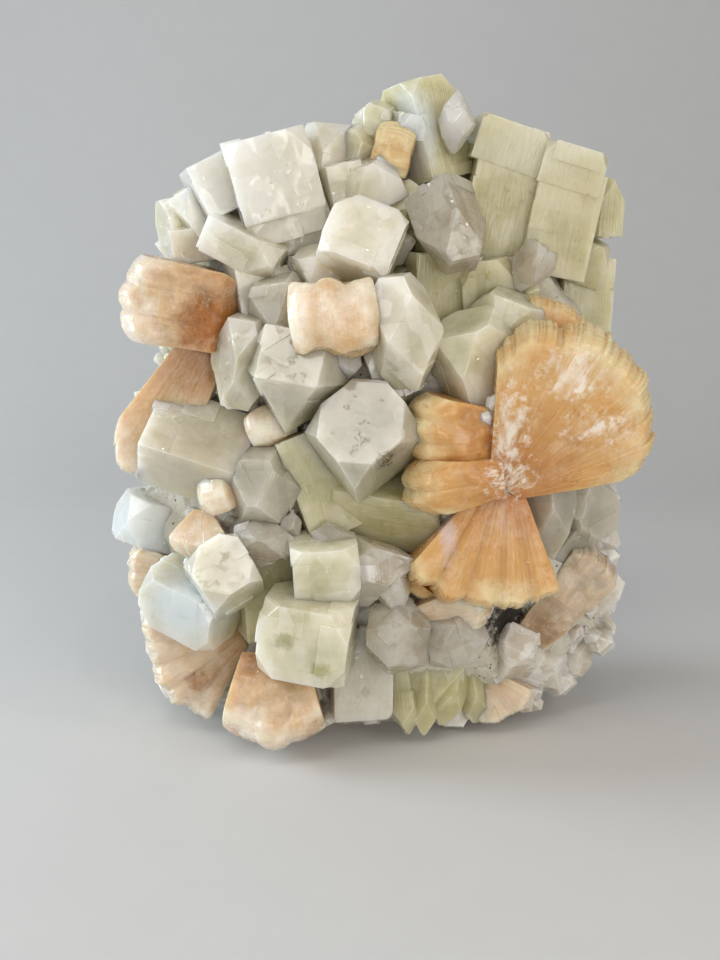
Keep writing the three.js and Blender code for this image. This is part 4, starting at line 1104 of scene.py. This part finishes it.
FINISHES = {  # the colours of core, veil and painted shade, or of root, body and rim
    MILKY: apophyllite(
        "milky_apophyllite", (0.46, 0.42, 0.28), (0.78, 0.735, 0.63), (0.55, 0.52, 0.22), 0.2,
        # painted window light on the left rim and the upper left, and a darker left side
        tints_and_painted_light=[((0.72, 0.78, 0.80), LEFT_RIM, 0.8), ((0.76, 0.77, 0.77), UPPER_LEFT, 0.5),
              ((0.46, 0.40, 0.28), LEFT_SIDE, 0.5)],
        stains=[((0.03, 0.03, 0.025), DARK_SPECKS, 0.8, 1.0)],
    ),
    GREEN: apophyllite(
        "green_apophyllite", (0.37, 0.34, 0.13), (0.64, 0.585, 0.36), (0.44, 0.42, 0.10), 0.12, stripes=0.4,
        # a painted window reflection on one face, and paler caps
        tints_and_painted_light=[((0.66, 0.74, 0.80), WINDOW_REFLECTION_FACE, 0.7), ((0.74, 0.71, 0.56), CAPS, 0.7)],
    ),
    YELLOW: apophyllite(
        "yellow_apophyllite", (0.44, 0.42, 0.24), (0.78, 0.73, 0.58), (0.56, 0.54, 0.21), 0.18,
        stains=[((0.30, 0.28, 0.07), GREEN_SPOTS, 0, 0.6)],
    ),
    GLASSY: apophyllite(
        "clear_apophyllite", (0.42, 0.34, 0.23), (0.92, 0.86, 0.74), (0.62, 0.56, 0.36), 0.35,
        see_through=0.4, absorption=((0.95, 0.9, 0.8), 6.0), shine=0.0, coat=0.0, waves=0.8,
        # with a painted highlight on the clear crystal at the top
        milk=0.6, glints=0.08, tints_and_painted_light=[((1.0, 0.97, 0.9), TOP_CLEAR, 0.8)],
    ),
    PEACH: stilbite(
        "peach_stilbite", (0.46, 0.19, 0.05), (0.62, 0.36, 0.13), (0.72, 0.58, 0.33), CHALK,
        stains=[((0.60, 0.52, 0.56), LILAC_FACE, 0.6)],
    ),
    BLUSH: stilbite(
        "blush_stilbite", (0.46, 0.24, 0.10), (0.64, 0.46, 0.28), (0.82, 0.74, 0.62), grain=0.4,
        stains=[((0.38, 0.14, 0.025), DEEP_ORANGE, 0.95), ((0.64, 0.42, 0.17), HONEY, 0.4),
                ((0.58, 0.34, 0.13), LOWER_LOBE, 0.5)],
    ),
    PALE: stilbite(
        "pale_stilbite", (0.54, 0.36, 0.21), (0.68, 0.55, 0.40), (0.76, 0.67, 0.54), patches=0.6,
        stains=[((0.30, 0.12, 0.03), DEEP_ORANGE, 0.8)],
    ),
    SPARKLE: apophyllite(
        "small_crystals", (0.44, 0.35, 0.24), (0.92, 0.90, 0.84), (0.60, 0.53, 0.40), 0.4,
        shine=0.02, coat=0.0, waves=1.2, milk=0.6, glints=0.12,
    ),
    BASALT: basalt("basalt_matrix"),
}


# ---------------------------------------------------------------- the pieces in the scene


def add_object(name, data):
    """Puts a mesh, light or camera in the scene."""
    made = bpy.data.objects.new(name, data)
    bpy.context.scene.collection.objects.link(made)
    return made


def add_piece(name, mesh, kind, nodes=()):
    """Names a mesh, gives it its finish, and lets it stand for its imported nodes."""
    mesh.name = name
    mesh.materials.clear()
    mesh.materials.append(FINISHES[kind])
    piece = add_object(name, mesh)
    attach(piece, "root")
    if nodes:
        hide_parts(*nodes)


def cut_back(mesh, in_front):
    """A mesh with the (mesh, box) pieces in front of it cut away."""
    space = box_of(mesh)
    return boolean(mesh, [other for other, box in in_front if meet(box, space)], "DIFFERENCE")


def tree_of(meshes):
    """A tree to cast rays at some meshes."""
    points, faces = [], []
    for mesh in meshes:
        first = len(points)
        points += [vert.co.copy() for vert in mesh.vertices]
        faces += [[first + i for i in face.vertices] for face in mesh.polygons]
    return BVHTree.FromPolygons(points, faces)


in_front = []
grown = []
for name, kind, tone, bodies in PIECES:
    name = f"{'stilbite' if kind in STILBITES else 'apophyllite'}_{name}"
    meshes = []
    for body in bodies:
        shade = tone + 0.5 * (chance(body["seed"], 3) - 0.5)
        meshes += crystal_meshes(body, shade) if "planes" in body else [lobe_mesh(body, shade)]
    whole = largest_part(cut_back(boolean(meshes[0], meshes[1:], "UNION"), in_front))
    add_piece(f"{name}_grown", whole, kind, [name])
    grown.append(whole)
    for body in bodies:
        mesh = cutter(body)
        in_front.append((mesh, box_of(mesh)))
shown = tree_of(grown)

# the knot where the lobes of the big bow tie meet, and clear crystals sitting on it
WAIST = lobe(
    [35.0, -23.8, 76], [30, 84, 0], [7.6, 12, 1], [4.4, 4.2], [4, 24, 0.3],
    groove=0.2, swell=1, lumps=2, blading=0.3,
)
add_piece("big_bow_tie_waist", lobe_mesh(WAIST[0], 0.5), PEACH)
BEADS = (
    ([31.4, -33.5, 99.6], [1.9, 1.7, 2.4], [24, 40, 20]),
    ([29.4, -33.0, 95.4], [1.5, 1.5, 2.2], [-30, 60, 40]),
    ([33.2, -34.0, 97.0], [1.0, 1.1, 1.5], [60, 30, 10]),
)
for number, (at, half, tilt) in enumerate(BEADS):
    body = crystal(at, half, tilt, [0.6, 0.5])[0]
    add_piece(f"clear_bead_{number}", crystal_body(body["planes"], body, 0.5, PLATE_ROUND, 1), SPARKLE)


# ---------------------------------------------------------------- the matrix

ROCK_VOXEL = 1.4  # mm
ROCK_SWELLS = ((0.05, 2.2), (0.16, 1.1), (0.5, 0.5))  # (waves a mm, height in mm)
ROCK_FLAT = 0.5  # the matrix rests on what is lower than this, mm
ROCK_FADE = 4.0  # and its relief is full above this, mm


def rough_rock(node):
    """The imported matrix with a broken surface, still flat where it rests."""
    rock = add_object("rock", node.data.copy())
    remesh = rock.modifiers.new("remesh", "REMESH")
    remesh.mode = "VOXEL"
    remesh.voxel_size = ROCK_VOXEL * MM
    depsgraph = bpy.context.evaluated_depsgraph_get()
    mesh = bpy.data.meshes.new_from_object(rock.evaluated_get(depsgraph))
    bpy.data.objects.remove(rock)
    places = points_of(mesh)
    normals = np.empty(places.size)
    mesh.vertex_normals.foreach_get("vector", normals)
    for place, normal in zip(places, normals.reshape(-1, 3)):
        if place[2] < ROCK_FLAT * MM:
            place[2] = 0.0
            continue
        point = Vector(place / MM)
        height = sum(size * noise.noise(point * waves) for waves, size in ROCK_SWELLS)
        lift = min(1.0, place[2] / (ROCK_FADE * MM))
        place += normal * height * MM * lift
        place[2] = max(place[2], 0.0)
    mesh.vertices.foreach_set("co", places.reshape(-1))
    mesh.update()
    return mesh


matrix_mesh = rough_rock(frame["nodes"]["matrix"])
add_piece("matrix_rock", matrix_mesh, BASALT, ["matrix"])

# ---------------------------------------------------------------- small crystals on the matrix

LEAN = 0.45  # how unevenly the small crystals lean
SMALL_ROUND = 0.12  # width of their worn edges, mm
CAVITY_BARE = 11.5  # no small crystal stands nearer to the middle of the dark hollow, mm
CAVITY_EDGE = 9.0  # and no spot is picked nearer to it, mm


def ground_spots(mesh, number, spacing, seed, wanted):
    """Spots on the matrix at least spacing mm apart, each with the way out from it."""
    places, corners = points_of(mesh), triangles_of(mesh)
    a, b, c = (places[corners[:, k]] / MM for k in range(3))
    out = np.cross(b - a, c - a)
    area = np.linalg.norm(out, axis=1)
    out /= area[:, None] + 1e-12
    draws = np.random.default_rng(seed)
    picks = draws.choice(len(corners), size=number, p=area / area.sum())
    kept, ways = [], []
    for pick, (u, v) in zip(picks, draws.random((number, 2))):
        if u + v > 1:
            u, v = 1 - u, 1 - v
        spot = a[pick] + u * (b[pick] - a[pick]) + v * (c[pick] - a[pick])
        if not wanted(spot, out[pick]):
            continue
        if kept and np.linalg.norm(np.array(kept) - spot, axis=1).min() < spacing:
            continue
        kept.append(spot)
        ways.append(out[pick])
    return list(zip(kept, ways)), draws


def ground_crystal(spot, way, size, draws):
    """One small crystal that leans out of the matrix."""
    lean = way + draws.normal(0, LEAN, 3)
    lean /= np.linalg.norm(lean)
    tip = math.degrees(math.atan2(lean[0], lean[2]))
    tilt = (tip, -math.degrees(math.asin(lean[1])), draws.random() * 90)
    long = size * (1.0 + 0.9 * draws.random())
    half = [size, size * (0.8 + 0.4 * draws.random()), long]
    return crystal(list(spot + way * size * 0.2), half, tilt, (0.3 + 0.6 * draws.random(), 0))[0]


def hides_a_piece(mesh):
    """Whether a mesh stands in front of a piece that the photographed side shows."""
    low, high = box_of(mesh)
    for across in (0.1, 0.5, 0.9):
        for up in (0.1, 0.5, 0.9):
            x = low[0] + (high[0] - low[0]) * across
            z = low[2] + (high[2] - low[2]) * up
            hit = shown.ray_cast(Vector((x, -1.0, z)), Vector((0.0, 1.0, 0.0)))[0]
            if hit and low[1] < hit.y < high[1] + 0.02:
                return True
    return False


def ground_piece(name, kind, spots_on, sizes, draws):
    """Joins the small crystals of one kind, cuts them back and puts them in the scene."""
    meshes = []
    for spot, way in spots_on:
        body = ground_crystal(spot, way, draws.uniform(*sizes), draws)
        mesh = crystal_body(body["planes"], body, draws.random(), SMALL_ROUND, 1)
        if in_cavity(spot, CAVITY_BARE):
            continue
        if mesh and box_of(mesh)[0][2] > 0 and not hides_a_piece(mesh):
            meshes.append(mesh)
    add_piece(name, cut_back(boolean(meshes[0], meshes[1:], "UNION"), in_front), kind)


def faces_front(spot, way):
    return spot[2] > 4 and way[1] < 0.25 and spot[1] < 16


def in_cavity(spot, reach):
    """Whether a spot is within reach of the middle of the dark hollow, seen from the front."""
    (across, _, up), _ = CAVITY[0]
    return np.linalg.norm(np.array([spot[0] - across, spot[2] - up])) < reach


LEVELS = (  # (name, spots tried, spacing in mm, seed, half sizes in mm)
    ("coarse", 4000, 8.0, 11, (3.4, 5.8)),
    ("fine", 16000, 3.6, 12, (1.1, 2.6)),
)
GROUNDS = (  # where each kind of small crystal stands
    (GREEN, lambda spot: spot[0] > 6 and spot[2] > 84),
    (SPARKLE, lambda spot: spot[2] <= 66 and spot[0] > -34),
    (MILKY, lambda spot: True),
)
for level, number, spacing, seed, sizes in LEVELS:
    left, draws = ground_spots(
        matrix_mesh, number, spacing, seed,
        lambda spot, way: faces_front(spot, way) and not in_cavity(spot, CAVITY_EDGE),
    )
    for kind, belongs in GROUNDS:
        mine = [pair for pair in left if belongs(pair[0])]
        left = [pair for pair in left if not belongs(pair[0])]
        ground_piece(f"druse_{level}_{kind.lower()}", kind, mine, sizes, draws)

# ---------------------------------------------------------------- stage, light and camera

CAMERA_AT = (-3.5, -320.0, 140.0)
CAMERA_PITCH = 12.0  # degrees below level
CAMERA_LENS = 42.0
AIM = (0, 0, 95)  # the middle of the cluster
DAYLIGHT = (1.0, 1.0, 1.0)
WARM_WHITE = (1.0, 0.97, 0.93)
WINDOW_BLUE = (0.80, 0.91, 1.0)
FLOOR_GREYS = ((0.62, 0.62, 0.62), (0.65, 0.65, 0.645))
ROOM_COLOUR = (1.0, 0.98, 0.95, 1.0)
ROOM_STRENGTH = 0.32


def area_light(name, at, size, power, colour):
    """A soft square light at a place in millimetres, turned to the middle of the cluster."""
    light = bpy.data.lights.new(name, "AREA")
    light.shape = "SQUARE"
    light.size = size * MM
    light.energy = power
    light.color = colour
    lamp = add_object(name, light)
    lamp.location = Vector(at) * MM
    lamp.rotation_euler = (Vector(AIM) * MM - lamp.location).to_track_quat("-Z", "Y").to_euler()


def backdrop():
    """A pale floor that rises behind the cluster in one curve."""
    half, front, back, height, bend = 4000, -4000, 700, 1400, 400
    profile = [(front, 0.0), (back - bend, 0.0)]
    profile += [
        (back - bend + bend * math.sin(step * DEGREE), bend - bend * math.cos(step * DEGREE))
        for step in range(10, 90, 10)
    ]
    profile += [(back, float(bend)), (back, height)]
    verts = [(side * half * MM, y * MM, z * MM) for y, z in profile for side in (-1, 1)]
    faces = [(2 * i, 2 * i + 1, 2 * i + 3, 2 * i + 2) for i in range(len(profile) - 1)]
    mesh = bpy.data.meshes.new("backdrop")
    mesh.from_pydata(verts, [], faces)
    mesh.shade_smooth()
    finish = Finish("backdrop")
    speck = finish.noise(finish.signal("ShaderNodeTexCoord", {}, "Object"), 60.0, 3.0)
    colour = finish.blend(speck, *FLOOR_GREYS)
    mesh.materials.append(finish.end({"Base Color": colour, "Roughness": 0.8}))
    add_object("backdrop", mesh)


backdrop()
area_light("window_left", (-700, 40, 260), 320, 4.0, WINDOW_BLUE)
# each window is a few panes, which show as small bright shapes on the flat faces
for pane, (across, up) in enumerate(((-130, -90), (130, -90), (-130, 90), (130, 90))):
    area_light(f"key_{pane}", (-240 + across, -420 - up, 660 + up), 210, 0.31, WARM_WHITE)
    area_light(f"low_fill_{pane}", (60 + 1.3 * across, -640, 100 + up), 150, 0.30, (1.0, 0.96, 0.90))
for pane, (across, up) in enumerate(((-120, -80), (120, -80), (-120, 100), (120, 100))):
    area_light(f"fill_{pane}", (520 + across, -520 + across, 260 + up), 180, 0.34, (1.0, 0.93, 0.84))
area_light("glint_top", (90, -330, 640), 34, 0.17, DAYLIGHT)
area_light("glint_left", (-420, -430, 240), 34, 0.17, (0.85, 0.94, 1.0))
area_light("glint_right", (380, -330, 420), 34, 0.15, (1.0, 0.97, 0.92))

world = bpy.data.worlds.new("soft_room")
world.use_nodes = True
world.node_tree.nodes["Background"].inputs["Color"].default_value = ROOM_COLOUR
world.node_tree.nodes["Background"].inputs["Strength"].default_value = ROOM_STRENGTH
bpy.context.scene.world = world

view = bpy.data.cameras.new("camera")
view.lens = CAMERA_LENS
camera = add_object("camera", view)
camera.location = Vector(CAMERA_AT) * MM
camera.rotation_euler = ((90 - CAMERA_PITCH) * DEGREE, 0.0, 0.0)
bpy.context.scene.camera = camera
bpy.context.scene.view_settings.view_transform = "Standard"
